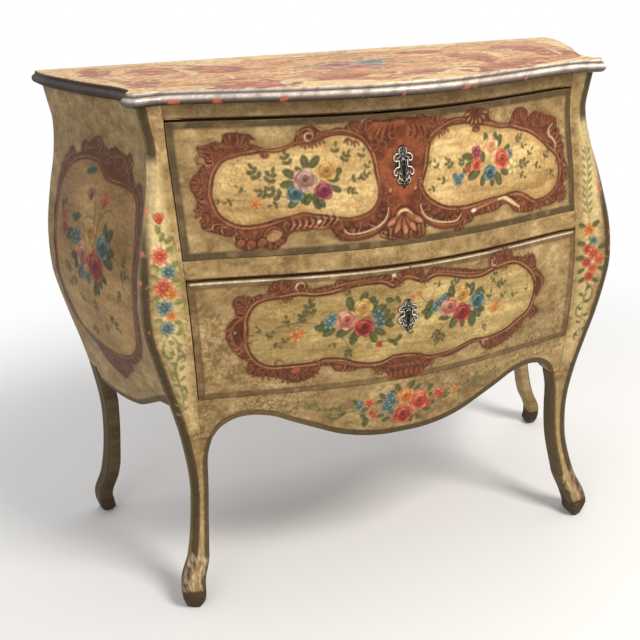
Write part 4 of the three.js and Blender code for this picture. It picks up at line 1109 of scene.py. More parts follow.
def painted_face(node, half, low, high, pitch, proud, body):
    """Painted face a shade proud of a bowed board, which stays as it is."""
    across = np.linspace(-half, half, cells_for(2 * half, pitch))
    up = np.linspace(low, high, cells_for(high - low, pitch))
    x, z = np.meshgrid(across, up)
    reach = front_forward(x, z) + proud
    face = np.stack([x, reach, z], -1)
    behind = np.stack([x, reach - FACE_DEPTH, z], -1)
    made = plate(f"{node}_painted_face", face, behind, front_paint.at(x, z), bowed_paint, body, None)


for node, low, high in (("front_top_rail", TOP_RAIL_UNDERSIDE, CASE_TOP),
                        ("drawer_divider", DIVIDER_UNDERSIDE, UPPER_SILL)):
    painted_face(node, RAIL_HALF, low, high, RAIL_PITCH, RAIL_PROUD, "case")

# Front apron
# The shaped bottom rail, sawn with a hanging curve and seated on the knees of the legs. Its lower
# edge is lined with the dark band.
APRON_DROP = 103
APRON_THICKNESS = 42
APRON_SHARES = [
    (0, 1), (.11, .995), (.22, .95), (.335, .855), (.445, .705), (.565, .535), (.64, .42),
    (.716, .364), (.762, .354), (.81, .374), (.854, .427), (.9, .53), (.927, .635), (.945, .73),
    (1, .9)]


def apron_edge(x):
    edge = LOWER_SILL - APRON_DROP * smooth(APRON_SHARES, np.abs(x) / POST_INNER)
    seat = np.where(np.abs(x) < KNEE_HALF_WIDTH, 0, SHOULDER + FIT_GAP)
    return np.maximum(edge, seat)


BAND_WORN = (128, 100, 68)
apron_line = steps(1 - KNEE_HALF_WIDTH, KNEE_HALF_WIDTH - 1, 4)
band_share = .5 + .42 * ease((apron_line + 190) / 90)
for start, share in enumerate(band_share[:-1]):
    part = apron_line[start:start + 2]
    tone = np.array(BAND) * share + np.array(BAND_WORN) * (1 - share)
    front_paint.stroke(line_of(part, apron_edge(part) + 3), 14, tone, .9, 1, 1)
front_paint.stroke(line_of(apron_line, apron_edge(apron_line) + 10.5), 1.5, BAND_DARK, .5, 1, 1)

PEACH = ((176, 108, 70), (220, 164, 118), (242, 214, 172))
MAGENTA = ((74, 22, 40), (126, 48, 70), (182, 108, 118))
TENDRIL = (70, 76, 42)
TENDRIL_PALE = (98, 94, 54)
TENDRIL_DRY = (104, 98, 58)
APRON_LEAVES = [
    (-12, 360, 15, 110), (-20, 352, 12, 150), (12, 362, 16, 70), (22, 354, 12, 30), (-38, 348, 15, 130),
    (-42, 338, 12, 170), (-31, 302, 14, 200), (-40, 310, 12, 180), (-66, 302, 18, 250), (-70, 314, 14, 110),
    (42, 308, 15, -20), (50, 318, 12, 10), (26, 296, 13, -60), (14, 294, 12, 250), (46, 334, 12, 40),
    (-84, 344, 12, 130), (-68, 326, 12, 200), (74, 324, 11, -30), (-12, 296, 12, 250), (46, 348, 13, 60)]


def tendril(canvas, points, width, colour, leaves, size=8):
    """Trailing stem with small leaves on alternate sides."""
    line = curve(points)
    canvas.stroke(line, width * 1.25, colour, .85, 1, .3)
    for i in range(leaves):
        place = int((i + .7) / leaves * (len(line) - 2))
        run = line[place + 1] - line[place]
        lean = math.degrees(math.atan2(run[1], run[0])) + (55 if i % 2 else -55)
        middle = line[place] + toward(lean, size * .55)
        leaf(canvas, *middle, size * 1.15, lean, colour, (112, 112, 66))


def paint_apron(canvas):
    paint(canvas, [
        (tendril, [(-60, 332), (-100, 326), (-118, 338), (-133, 334), (-148, 346), (-156, 350)], 1.5, TENDRIL,
        8), (tendril, [(-156, 340), (-175, 350), (-186, 338), (-178, 330)], 1.7, TENDRIL_PALE, 4, 8),
        (tendril, [(-190, 352), (-212, 348), (-224, 360), (-240, 356)], 1.6, TENDRIL_DRY, 4, 7),
        (tendril, [(-100, 326), (-110, 318), (-124, 318), (-130, 324)], 1.3, LEAF_DEEP, 3, 7),
        (tendril, [(66, 332), (100, 326), (121, 330), (134, 344), (142, 347)], 1.5, TENDRIL, 7),
        (tendril, [(130, 334), (150, 338), (171, 350), (180, 346)], 1.7, TENDRIL_PALE, 5, 8),
        (tendril, [(176, 346), (196, 347), (214, 358), (226, 354)], 1.6, TENDRIL_DRY, 4, 7)])
    for points in ([(-22, 340), (-18, 356), (-14, 368)], [(0, 345), (4, 362), (12, 366), (14, 358)],
                   [(16, 344), (24, 362), (30, 356)]):
        canvas.pull(points, 1.8, LEAF_DEEP, .75, .8, .4)
    for x, z, length, turn in APRON_LEAVES:
        leaf(canvas, x, z, length, turn)
    for x, z, radius in (
            (-25, 346, 8), (-30, 334, 8), (-20, 334, 8), (-26, 322, 8), (-22, 314, 6), (-34, 324, 6)):
        bloom(canvas, x, z, radius, SKY, 5, x + z)
    paint(canvas, [
        (bloom, -78, 334, 7, SKY), (bloom, -74, 340, 5, SKY), (bloom, -60, 338, 8, CORAL),
        (bloom, -52, 312, 6, CORAL), (bloom, -56, 318, 5, BRICK), (bloom, 62, 334, 9, CORAL),
        (bloom, 68, 326, 5, BRICK), (bloom, 94, 333, 7, ORANGE), (rose, 2, 341, 14, ORANGE),
        (rose, 27, 327, 18, CORAL), (rose, -2, 306, 17, BRICK), (bud, 42, 318, 9, -30, CORAL)])


paint_apron(front_paint)


def make_apron():
    across = np.linspace(-RAIL_HALF, RAIL_HALF, cells_for(2 * RAIL_HALF, RAIL_PITCH))
    up = np.linspace(0, 1, cells_for(APRON_DROP, RAIL_PITCH))
    edge = apron_edge(across)[None, :]
    z = edge + (LOWER_SILL - edge) * up[:, None]
    x = np.broadcast_to(across[None, :], z.shape)
    reach = front_forward(x, z)
    face = np.stack([x, reach, z], -1)
    behind = np.stack([x, reach - APRON_THICKNESS, z], -1)
    plate("painted_front_apron", face, behind, front_paint.at(x, z), bowed_paint, "case", "front_apron")


make_apron()

# Top
# A serpentine slab glued up from three boards, its edge worked with a quirk and an ovolo that
# return at the pointed corners. The face is marbled; the edge is a polished grey-brown.
TOP_THICKNESS = 20
TOP_CORNER_OVERHANG = 19
TOP_EDGE_SETBACK = 8
TOP_CORNER_RUN = 13
TOP_CORNER_RISE = 22
TOP_CORNER_FLARE = 10
TOP_BACK_OVERHANG = 14
TOP_FRONT_OVERHANG = 16
TOP_FRONT_BOW = 86
TOP_BOW_SHARPNESS = 1.3
TOP_SIDE_SHARES = [
    (0, 0), (.17, .115), (.33, .3), (.48, .5), (.57, .62), (.71, .85), (.78, .965), (.88, 1.07),
    (.94, 1.075), (1, 1)]
TOP_EDGE_SHARES = [
    (1, 0), (.9, .02), (.84, .08), (.8, .18), (.75, .27), (.6, .28), (.4, .33), (.2, .4), (.07, .47),
    (0, .56), (0, .66), (.08, .76), (.24, .85), (.5, .93), (.75, .98), (1, 1)]
TOP_PITCH = 2.2
MITRE_EASE = 30
EAR_STEPS = 12
TOP_FRONT_END = float(corner_forward(CASE_TOP)) + TOP_FRONT_OVERHANG
TOP_CORNER_HALF = float(corner_x(CASE_TOP)) + TOP_CORNER_OVERHANG
TOP_BACK_HALF = float(corner_x(CASE_TOP)) + SIDE_SPLAY + TOP_BACK_OVERHANG
TOP_CORNER_FORWARD = TOP_FRONT_END + TOP_CORNER_FLARE - TOP_CORNER_RISE

top_paint = Canvas(-508, 508, 0, 452, 1.5)
TOP_PALE = (240, 216, 164)
TOP_MID = (226, 192, 134)
TOP_DARK = (192, 150, 98)
mottle(top_paint, TOP_PALE, TOP_MID, TOP_DARK, 51)
TOP_FIELD = [
    (-400, 52), (-408, 110), (-396, 168), (-376, 220), (-362, 270), (-342, 312), (-300, 326), (-254, 336),
    (-240, 362), (-228, 394), (-195, 406), (-170, 390), (-160, 352), (-128, 348), (-108, 372), (-72, 384),
    (-48, 396), (-15, 414), (18, 394), (58, 386), (94, 368), (114, 348), (140, 344), (142, 376), (166, 396),
    (210, 390), (252, 370), (300, 346), (346, 324), (372, 288), (388, 240), (402, 180), (412, 120), (406, 60),
    (352, 32), (282, 30), (240, 56), (204, 92), (132, 74), (62, 62), (0, 72), (-62, 62), (-146, 74),
    (-168, 98), (-222, 96), (-250, 60), (-300, 48), (-350, 44)]
TOP_BROWN = (98, 60, 38)
TOP_ROSE = (142, 58, 42)
TOP_ROSE_PALE = (192, 112, 84)
TOP_CREAM = (240, 220, 168)
TOP_WARM = (176, 96, 62)
TOP_HONEY = (236, 202, 138)
TOP_VEIN = (128, 62, 40)
MAUVE = ((104, 46, 50), (162, 94, 88), (212, 160, 140))
SLATE = ((44, 62, 64), (90, 114, 110), (152, 170, 154))
# Painted light and shade of the slab edge: its lit and shaded tones, the light down the moulding at the sides
# and at the front, and a fall from shade at the left end to light at the right.
EDGE_LIT = (214, 198, 182)
EDGE_SHADED = (38, 27, 21)
SIDE_EDGE_LIGHT_SHARES = [(0, .36), (.12, .19), (.27, .02), (.34, .17), (.48, .3), (.62, .2), (.8, .06), (1, 0)]
FRONT_EDGE_LIGHT_SHARES = [
    (0, 1), (.1, .97), (.17, .64), (.27, .18), (.33, .59), (.39, 1), (.49, .98), (.56, .72), (.64, .43),
    (.76, .16), (1, 0)]
EDGE_LIGHT_ACROSS = [(-505, .72), (-460, .76), (-400, .9), (0, 1.03), (440, 1.16)]
SLAB_EDGE_CHIPS = ((-315, 8, .62), (-257, 5, .66), (-172, 5, .68), (-168, 2, .5), (-5, 3, .75), (96, 6, .66),
                   (112, 3, .78), (214, 3, .72))
SLAB_EDGE_CHIP = (186, 84, 66)


def marbled(canvas):
    """Tan-orange marbling of the middle of the top: streaks and clouds over a warm ground."""
    ground = field_ground(canvas, (234, 192, 130), (214, 162, 102), (168, 114, 66), 55)
    vein = 1 - np.abs(canvas.cloud(13, 57, 4) + .5 * canvas.cloud(5, 58, 2) - .75) / .07
    warm = canvas.patch(46, 59, .5, .3)[..., None]
    ground += (np.array(TOP_WARM) - ground) * warm * .5
    pale = canvas.patch(15, 62, .6, .25, 3)[..., None]
    ground += (np.array(TOP_HONEY) - ground) * pale * .7
    return ground + (np.array(TOP_BROWN) - ground) * (np.clip(vein, 0, 1) * .62)[..., None]


def paint_top(canvas):
    field = curve(TOP_FIELD, True)
    canvas.stroke(ring(edge_line(field, 7)), 4, TOP_CREAM, .6, 1, 1, 4)
    canvas.area(field, marbled(canvas))
    worn = .3 + .7 * canvas.patch(30, 60, .3, .3)
    flame = .3 * canvas.cloud(24, 66, 1.3) + .36 * canvas.cloud(11, 67, 1.7) + .34 * canvas.cloud(5, 68, 2.2)
    ragged = ease((flame - .45) / .06)
    canvas.stroke(ring(field), 5, TOP_BROWN, .75 * worn, 1, 1, 3)
    canvas.stroke(ring(edge_line(field, -8)), 3, TOP_ROSE_PALE, .5 * worn, 1, 1, 3)
    for x, forward, length, width, turn in (
            (-395, 95, 72, 26, 95), (-305, 132, 52, 44, 40), (-212, 152, 70, 40, 60), (-200, 360, 84, 68, 85),
            (192, 366, 92, 56, -20), (208, 244, 96, 26, 80), (336, 150, 70, 34, 70), (352, 258, 66, 34, 100),
            (-342, 262, 66, 26, 100), (150, 108, 60, 24, 20), (244, 330, 70, 30, -25), (60, 352, 60, 20, 10),
            (-70, 352, 60, 20, -10)):
        paint(canvas, [
            (dab, x, forward, length * 1.75, width * 2.1, turn, TOP_BROWN, ease((flame - .42) / .05) * .5),
            (dab, x, forward, length * 1.7, width * 2, turn, TOP_ROSE, ragged * .9),
            (dab, x, forward, length * .8, width * .7, turn, TOP_ROSE, .7),
            (dab, x + 4, forward - 4, length * 1.1, width, turn, TOP_ROSE_PALE, ease((flame - .56) / .08))])
    for points, width in (
            ([(-268, 118), (-258, 150), (-252, 190), (-262, 220)], 20),
            ([(-214, 232), (-208, 262), (-212, 290)], 9),
            ([(232, 138), (252, 150), (262, 190), (256, 226), (244, 246)], 24),
            ([(96, 372), (118, 356), (140, 366), (132, 398)], 26),
            ([(-156, 388), (-150, 360), (-128, 346), (-104, 356)], 26),
            ([(-384, 150), (-366, 190), (-352, 236)], 12), ([(372, 190), (364, 232), (346, 280)], 12)):
        canvas.pull(points, width + 5, TOP_BROWN, .4, .4, .3, 3)
        canvas.pull(points, width, TOP_CREAM, .8, .4, .3, 3)
    for points in (
            [(-146, 66), (-110, 72), (-75, 60), (-40, 72), (0, 62), (40, 72), (80, 60), (130, 68)],
            [(-104, 370), (-80, 362), (-58, 376), (-40, 370), (-15, 398), (12, 370), (40, 378), (66, 362),
            (92, 366)], [(-300, 320), (-270, 316), (-250, 330)], [(300, 60), (330, 76), (360, 66)]):
        canvas.pull(points, 7, TOP_BROWN, .7, .6, .5, 3)
        canvas.stroke(curve(points) + (0, 5), 3, TOP_ROSE_PALE, .6, .6, .5, 2)
    for x, forward, length, turn in (
            (-62, 196, 34, 150), (-58, 236, 30, 200), (-40, 268, 30, 230), (14, 282, 28, 280),
            (40, 248, 34, -30), (66, 214, 30, 20), (72, 178, 30, 40), (30, 158, 30, 80), (-14, 168, 30, 100),
            (-40, 176, 26, 130), (-84, 214, 26, 180), (92, 236, 26, -10)):
        leaf(canvas, x, forward, length, turn, (96, 98, 72), (134, 134, 96))
    seam = canvas.cells(13, 91)
    patchy = .35 + .65 * canvas.patch(44, 92, .35, .3)
    canvas.wash(ease(1 - seam / 3.4) * patchy * .6, TOP_VEIN)
    canvas.wash(ease((seam - 4) / 5) * patchy * .28, TOP_CREAM)
    paint(canvas, [
        (rose, -28, 214, 30, MAUVE), (rose, -4, 252, 25, MAUVE), (rose, 36, 202, 24, SLATE),
        (bloom, 54, 180, 15, SLATE), (bloom, 4, 182, 13, MAUVE), (rose, 26, 238, 17, MAUVE)])


paint_top(top_paint)
marbled_paint = painted_finish("marbled_paint", crackle=.35, gloss=.4)
polished_edge = painted_finish("polished_edge", crackle=.2, gloss=.2, shine=.7)
dull_edge = painted_finish("dull_edge", crackle=.2, gloss=.5)


def top_front(x):
    x = np.abs(x)
    wave = np.cos(math.pi / 2 * np.clip(x / BOW_HALF_WIDTH, 0, 1))
    flare_width = TOP_CORNER_HALF - TOP_CORNER_RUN - BOW_HALF_WIDTH
    flare = TOP_CORNER_FLARE * ease((x - BOW_HALF_WIDTH) / flare_width)
    return TOP_FRONT_END + TOP_FRONT_BOW * np.clip(wave, 0, 1) ** TOP_BOW_SHARPNESS + flare


def drawn_in(line, start_normal, end_normal, distance):
    """Line moved square to itself, its two ends eased to the mitres with its neighbours."""
    along = unit(np.gradient(line, axis=0))
    normal = np.stack([-along[:, 1], along[:, 0]], 1)
    moved = line + normal * distance
    run = run_along(line)
    reach = min(MITRE_EASE, run[-1] / 2)
    for end, other, away in ((0, start_normal, run), (-1, end_normal, run[-1] - run)):
        if other is None:
            continue
        own = normal[end]
        mitre = line[end] + (own + other) * distance / (1 + own @ other)
        moved = moved + (mitre - moved[end]) * (1 - ease(away / reach))[:, None]
    return moved


def normal_of(line, end):
    along = line[1] - line[0] if end == 0 else line[-1] - line[-2]
    return np.array([-along[1], along[0]]) / np.linalg.norm(along)


def top_border(distance, rows, cols):
    """Right side, front with both ears, and left side of the slab, drawn in by a distance."""
    share = np.linspace(0, 1, rows)
    run = TOP_BACK_HALF - TOP_CORNER_HALF
    right = np.stack([TOP_BACK_HALF - run * smooth(TOP_SIDE_SHARES, share), TOP_CORNER_FORWARD * share], 1)
    half = TOP_CORNER_HALF - TOP_CORNER_RUN
    front_x = np.linspace(half, -half, cols - 2 * EAR_STEPS)
    front = np.stack([front_x, top_front(front_x)], 1)
    ear_line = np.linspace(right[-1], front[0], EAR_STEPS + 1)
    ear_normal = normal_of(ear_line, 0)
    right_in = drawn_in(right, None, ear_normal, distance)
    right_in[0, 1] = 0
    ear_in = drawn_in(ear_line, normal_of(right, -1), normal_of(front, 0), distance)
    half_count = (len(front) + 1) // 2
    front_in = drawn_in(front, ear_normal, None, distance)[:half_count]
    front_in = np.concatenate([front_in, (front_in[:len(front) - half_count] * (-1, 1))[::-1]])
    whole_front = np.concatenate([ear_in[:-1], front_in, (ear_in[:-1] * (-1, 1))[::-1]])
    return right_in, whole_front, right_in * (-1, 1)


def make_top():
    rows = int(TOP_CORNER_FORWARD / TOP_PITCH) + 1
    cols = int(2 * TOP_CORNER_HALF / TOP_PITCH) + 1
    cols += 1 - cols % 2
    right, front, left = top_border(TOP_EDGE_SETBACK, rows, cols)
    cols = len(front)
    width = front[0, 0] - front[-1, 0]
    share = right[0, 0] - (front[:, 0] - front[-1, 0]) / width * 2 * right[0, 0]
    back = np.stack([-share, np.zeros(cols)], 1)
    u = ((front[0, 0] - front[:, 0]) / width)[None, :, None]
    v = np.linspace(0, 1, rows)[:, None, None]
    face = ((1 - u) * right[:, None] + u * left[:, None] + (1 - v) * back[None] + v * front[None]
            - (1 - u) * (1 - v) * back[0] - u * (1 - v) * back[-1]
            - (1 - u) * v * front[0] - u * v * front[-1])
    points = [np.concatenate([face.reshape(-1, 2), np.full((rows * cols, 1), OVERALL_HEIGHT)], 1)]
    grid = np.arange(rows * cols).reshape(rows, cols)
    faces = grid_faces(grid)
    last = np.concatenate([grid[:, 0], grid[-1, 1:], grid[-2::-1, -1], grid[0, -2:0:-1]])
    total = len(last)
    count = rows * cols
    for inward, down in TOP_EDGE_SHARES[1:]:
        right, front, left = top_border(TOP_EDGE_SETBACK * inward, rows, cols)
        back_x = np.linspace(left[0, 0], right[0, 0], cols)[1:-1]
        behind = np.stack([back_x, np.zeros(cols - 2)], 1)
        loop = np.concatenate([right, front[1:-1], left[::-1], behind])
        height = np.full((total, 1), OVERALL_HEIGHT - TOP_THICKNESS * down)
        points.append(np.concatenate([loop, height], 1))
        fresh = np.arange(count, count + total)
        faces += np.stack([last, np.roll(last, -1), np.roll(fresh, -1), fresh], 1).tolist()
        last = fresh
        count += total
    faces.append(last.tolist())
    points = np.concatenate(points)
    colours = np.ones((len(points), 4))
    colours[:, :3] = top_paint.at(points[:, 0], points[:, 1])
    edge = points[:, 2] < OVERALL_HEIGHT - .5
    random = np.random.default_rng(64)
    marks = np.cumsum(random.random(190) * 15 + 1) - 620
    streak = np.interp(points[:, 0] + points[:, 1], marks, random.random(len(marks)))[:, None]
    fleck = random.random((len(points), 1)) * .2
    down = (OVERALL_HEIGHT - points[:, 2]) / TOP_THICKNESS
    # Painted light down the moulding: highlights on the lip and the ovolo crest, painted shade in the quirk
    # and underneath; lit at the front and shaded along the sides.
    dark, rubbed = (np.interp(down, *np.transpose(shares))[:, None]
                    for shares in (SIDE_EDGE_LIGHT_SHARES, FRONT_EDGE_LIGHT_SHARES))
    at_front = ease((points[:, 1] - TOP_CORNER_FORWARD + 8) / 14)[:, None]
    light = dark + (rubbed - dark) * at_front * (.76 + .24 * ease((streak - .15) / .5))
    edge_colour = np.array(EDGE_SHADED) + (np.array(EDGE_LIT) - EDGE_SHADED) * light
    # Painted shade towards the left end of the slab and painted light towards the right, over the random
    # streaks and flecks.
    edge_colour *= (.86 + .1 * streak + fleck) * np.interp(points[:, :1], *np.transpose(EDGE_LIGHT_ACROSS))
    for x, half, top in SLAB_EDGE_CHIPS:
        ragged = half * (.7 + .6 * random.random(len(points)))
        chipped = (np.abs(points[:, 0] - x) < ragged) & (points[:, 1] > 300) & (down > top) & (down < top
            + .3)
        edge_colour[chipped] = SLAB_EDGE_CHIP
    colours[edge, :3] = edge_colour[edge]
    underside = points[:, 2] < OVERALL_HEIGHT - TOP_THICKNESS + .1
    colours[underside] = (*BARE_WOOD, 0)
    made = piece("marbled_top", points, faces, colours, marbled_paint, "case", "top", 50)
    for edge_finish in (polished_edge, dull_edge):
        made.data.materials.append(edge_finish)
    kinds = [0] * ((rows - 1) * (cols - 1))
    kinds += [1 if points[face, 1].mean() > TOP_CORNER_FORWARD + 2 else 2 for face in faces[len(kinds):]]
    made.data.polygons.foreach_set("material_index", np.array(kinds, np.int32))


make_top()

# Drawer fronts
# Thick bowed boards, half-blind dovetailed to the sides. A painted face lies over each, a shade
# proud of the wood, with a cartouche of red scrolls round two bunches of flowers.
DRAWER_PITCH = 1.3
FACE_PROUD = 1.05
UPPER_FRONT = (602.7, 794.7)
LOWER_FRONT = (375.7, 569.7)
UPPER_KEY_HEIGHT = 716.7
LOWER_KEY_HEIGHT = 488.7
DRAWERS = (("upper_drawer", UPPER_FRONT, UPPER_KEY_HEIGHT), ("lower_drawer", LOWER_FRONT, LOWER_KEY_HEIGHT))

UPPER_OUTER = [
    (-287, 759), (-275, 761), (-262, 765), (-252, 762), (-250, 774), (-240, 777), (-222, 775), (-214, 773),
    (-208, 763), (-200, 755), (-180, 753), (-165, 758), (-155, 764), (-150, 776), (-140, 782), (-128, 783),
    (-121, 776), (-108, 775), (-95, 778), (-85, 779), (-75, 787), (-60, 784), (-50, 789), (-30, 785),
    (-10, 788), (10, 786), (28, 789), (40, 786), (55, 786), (60, 777), (76, 777), (93, 778), (107, 778),
    (112, 787), (120, 790), (130, 787), (140, 785), (150, 778), (155, 768), (173, 760), (192, 757),
    (202, 768), (205, 776), (218, 778), (231, 772), (236, 763), (248, 768), (259, 765), (270, 760),
    (287, 756), (296, 750), (298, 735), (304, 718), (310, 706), (308, 692), (313, 679), (315, 668),
    (306, 651), (303, 643), (308, 634), (304, 625), (291, 624), (272, 620), (252, 622), (237, 617),
    (218, 618), (201, 622), (192, 630), (183, 637), (173, 636), (162, 631), (136, 629), (119, 628),
    (113, 621), (100, 618), (97, 612), (84, 611), (80, 617), (65, 618), (50, 623), (38, 630), (31, 624),
    (31, 613), (18, 610), (9, 614), (0, 610), (-10, 614), (-22, 610), (-30, 615), (-30, 626), (-44, 625),
    (-59, 619), (-76, 617), (-93, 617), (-104, 621), (-110, 630), (-117, 638), (-136, 639), (-149, 636),
    (-162, 637), (-175, 632), (-181, 621), (-187, 618), (-192, 613), (-203, 612), (-214, 617), (-222, 614),
    (-231, 615), (-240, 612), (-247, 621), (-250, 632), (-265, 635), (-278, 640), (-291, 645), (-295, 651),
    (-292, 664), (-298, 673), (-296, 681), (-298, 692), (-303, 703), (-300, 714), (-290, 725), (-277, 740),
    (-284, 748)]
UPPER_LEFT_FIELD = [
    (-275, 690), (-274, 700), (-270, 715), (-265, 725), (-256, 736), (-245, 741), (-230, 745), (-210, 748),
    (-190, 751), (-165, 755), (-145, 758), (-125, 762), (-110, 767), (-95, 769), (-80, 767), (-65, 761),
    (-55, 751), (-48, 738), (-45, 725), (-44, 712), (-41, 695), (-42, 675), (-50, 662), (-62, 655),
    (-80, 651), (-95, 652), (-115, 656), (-135, 660), (-150, 663), (-165, 660), (-185, 656), (-200, 652),
    (-215, 649), (-235, 648), (-250, 652), (-262, 660), (-270, 670)]
UPPER_RIGHT_FIELD = [
    (43, 735), (50, 753), (65, 764), (86, 768), (110, 767), (130, 763), (153, 759), (173, 754), (198, 750),
    (216, 744), (237, 737), (259, 723), (274, 709), (289, 697), (295, 684), (295, 666), (289, 651),
    (276, 640), (259, 634), (242, 634), (227, 643), (211, 651), (194, 653), (175, 651), (151, 651),
    (123, 648), (97, 647), (71, 651), (52, 660), (37, 673), (30, 688), (34, 701), (39, 714)]
UPPER_PANEL = [
    (-50, 784), (-20, 783), (0, 785), (20, 783), (46, 784), (45, 766), (40, 748), (34, 720), (27, 690),
    (30, 672), (24, 660), (20, 646), (0, 642), (-20, 646), (-26, 660), (-36, 670), (-37, 690), (-39, 720),
    (-46, 748), (-52, 766)]
LOWER_OUTER = [
    (-223, 546), (-213, 544), (-208, 558), (-200, 564), (-185, 566), (-168, 563), (-158, 558), (-147, 549),
    (-130, 552), (-116, 553), (-109, 560), (-89, 558), (-54, 560), (-30, 559), (-20, 552), (-13, 562),
    (8, 565), (22, 563), (30, 551), (39, 560), (53, 559), (77, 554), (101, 549), (122, 543), (135, 542),
    (148, 544), (146, 556), (153, 564), (173, 566), (188, 563), (194, 551), (204, 549), (222, 544),
    (235, 547), (242, 534), (244, 521), (256, 509), (262, 496), (258, 482), (246, 468), (244, 456),
    (254, 446), (251, 438), (232, 437), (222, 430), (208, 416), (191, 406), (170, 398), (153, 398),
    (142, 404), (132, 416), (118, 416), (98, 409), (77, 403), (49, 404), (38, 396), (29, 384), (15, 379),
    (1, 377), (-14, 380), (-27, 385), (-37, 399), (-54, 404), (-68, 408), (-96, 406), (-116, 409),
    (-123, 418), (-140, 420), (-147, 409), (-161, 399), (-182, 395), (-195, 401), (-209, 408), (-226, 411),
    (-244, 415), (-252, 423), (-249, 437), (-261, 447), (-273, 465), (-278, 482), (-275, 499), (-263, 513),
    (-262, 524), (-264, 536), (-254, 545), (-244, 540)]
LOWER_FIELD = [
    (-245, 492), (-244, 509), (-233, 527), (-216, 535), (-192, 537), (-168, 540), (-144, 537), (-116, 539),
    (-89, 546), (-61, 548), (-40, 546), (-23, 538), (-2, 549), (25, 540), (49, 546), (77, 540), (104, 532),
    (132, 530), (160, 537), (194, 539), (218, 527), (235, 509), (241, 489), (239, 468), (229, 449),
    (208, 438), (187, 427), (153, 421), (118, 423), (84, 413), (42, 411), (15, 421), (-20, 424), (-36, 418),
    (-54, 415), (-82, 420), (-106, 430), (-133, 433), (-151, 428), (-192, 427), (-216, 428), (-233, 437),
    (-244, 454), (-247, 475)]
LILAC = ((98, 58, 56), (164, 122, 112), (208, 180, 164))
LEMON = ((120, 108, 52), (214, 196, 130), (240, 228, 180))
SPRIG_GREEN = (64, 66, 38)
LOWER_BAND = (82, 62, 39)
LIP_HIGHLIGHT = (240, 232, 212)
SCROLL_CREAM = (232, 218, 190)
KEYHOLE_SHADE = (14, 10, 8)


def plume(canvas, x, z, size, turn, lobes=5, fan=130):
    """Tuft of leaf lobes spreading from a point."""
    for i in range(lobes):
        lean = turn + fan * (i / (lobes - 1) - .5)
        root = np.array([x, z], float)
        bend = toward(lean + (90 if lean > turn else -90), size * .12)
        line = curve([root, root + toward(lean, size * .5) + bend, root + toward(lean, size * .88)])
        paint(canvas, [
            (stroke, line, size * .42, RUST_DEEP, .6, .6, .8, 1.4),
            (stroke, line, size * .3, RUST, .8, .6, .8, 1),
            (stroke, line + bend * .5, size * .1, RUST_LIGHT, .75, .4, .5, .6)])


def volute(canvas, x, z, radius, start, sweep, width):
    """Scroll curling in on itself."""
    turn = np.radians(np.linspace(start, start + sweep, 14))
    reach = radius * np.linspace(1, .3, 14)
    rail(canvas, line_of(x + reach * np.cos(turn), z + reach * np.sin(turn)), width)


def border(canvas, low, high, tone, strength):
    """Dark lining round a drawer front, worn through in places, with a fine rule inside it."""
    half = BOW_HALF_WIDTH
    width = 9
    wear = strength * (1 - .4 * ease((canvas.cloud(16, int(low)) - .55) / .3))
    for x0, x1, z0, z1 in ((-half, half, low, low + width), (-half, half, high - width, high),
                           (-half, width - half, low, high), (half - width, half, low, high)):
        canvas.area([(x0, z0), (x1, z0), (x1, z1), (x0, z1)], tone, wear)
    inset = width + .6
    side, under, over = half - inset, low + inset, high - inset
    box = [(-side, under), (side, under), (side, over), (-side, over), (-side, under)]
    for a, b in zip(box[:-1], box[1:]):
        canvas.stroke([a, b], 3, BAND_DARK, .3, 1, 1, 2)


def crescent(canvas, side):
    """Half-moon scroll beside the shell, with its cream line and cupped beads."""
    body = np.array([(104, 630), (92, 622), (76, 620), (58, 623), (44, 629), (31, 640), (25, 650), (23, 664)])
    cream = np.array([(95, 634), (88, 627), (75, 626), (60, 628), (45, 633), (33, 641), (27, 652), (26, 660)])
    rail(canvas, body * (side, 1), 11, RUST_DEEP, RUST, RUST_LIGHT)
    canvas.pull(cream * (side, 1), 2.6, CREAM, .9, .7, .5)
    for x, z, size in (
            (90, 640, 13), (76, 637, 12), (62, 636, 13), (50, 641, 12), (40, 647, 11), (34, 656, 10)):
        lean = 90 - side * (100 - x) * .9
        canvas.dab(side * x, z, size, size * .7, lean, RUST_DEEP, .85)
        canvas.dab(side * x, z + 1.5, size * .62, size * .42, lean, RUST_LIGHT, .8)
        canvas.dab(side * x, z + .5, size * .3, size * .22, lean, RUST_DEEP, .8)


def shell(canvas, x, z, length, lobes, fan, tone=RUST_LIGHT):
    """Palmette of round lobes hanging from a point."""
    for i in range(lobes):
        lean = -90 + fan * (i / (lobes - 1) - .5)
        root = np.array([x, z]) + toward(lean, length * .55)
        paint(canvas, [
            (dab, *root, length, length * .42, lean, RUST_DEEP, .9),
            (dab, *root, length * .9, length * .3, lean, tone, .9),
            (dab, *(root + toward(lean, length * .2)), length * .4, length * .16, lean, RUST_GLOW, .6)])


def flowers(canvas, roses, blooms, leaves, sprigs):
    """Bunch of flowers over leaves tucked under the nearest bloom, with sprigs round it."""
    hearts = np.array([flower[:2] for flower in roses + blooms], float)
    for x, z, length, turn, pairs in sprigs:
        sprig(canvas, x, z, length, turn, pairs, SPRIG_GREEN, .5)
    for x, z, length, turn in leaves:
        nearest = hearts[np.argmin(np.hypot(*(hearts - (x, z)).T))]
        leaf(canvas, x + (nearest[0] - x) * .12, z + (nearest[1] - z) * .12, length * 1.28, turn)
    for x, z, radius, colours in blooms:
        bloom(canvas, x, z, radius, colours, 5, x + z)
    for x, z, radius, colours in roses:
        rose(canvas, x, z, radius, colours, x)


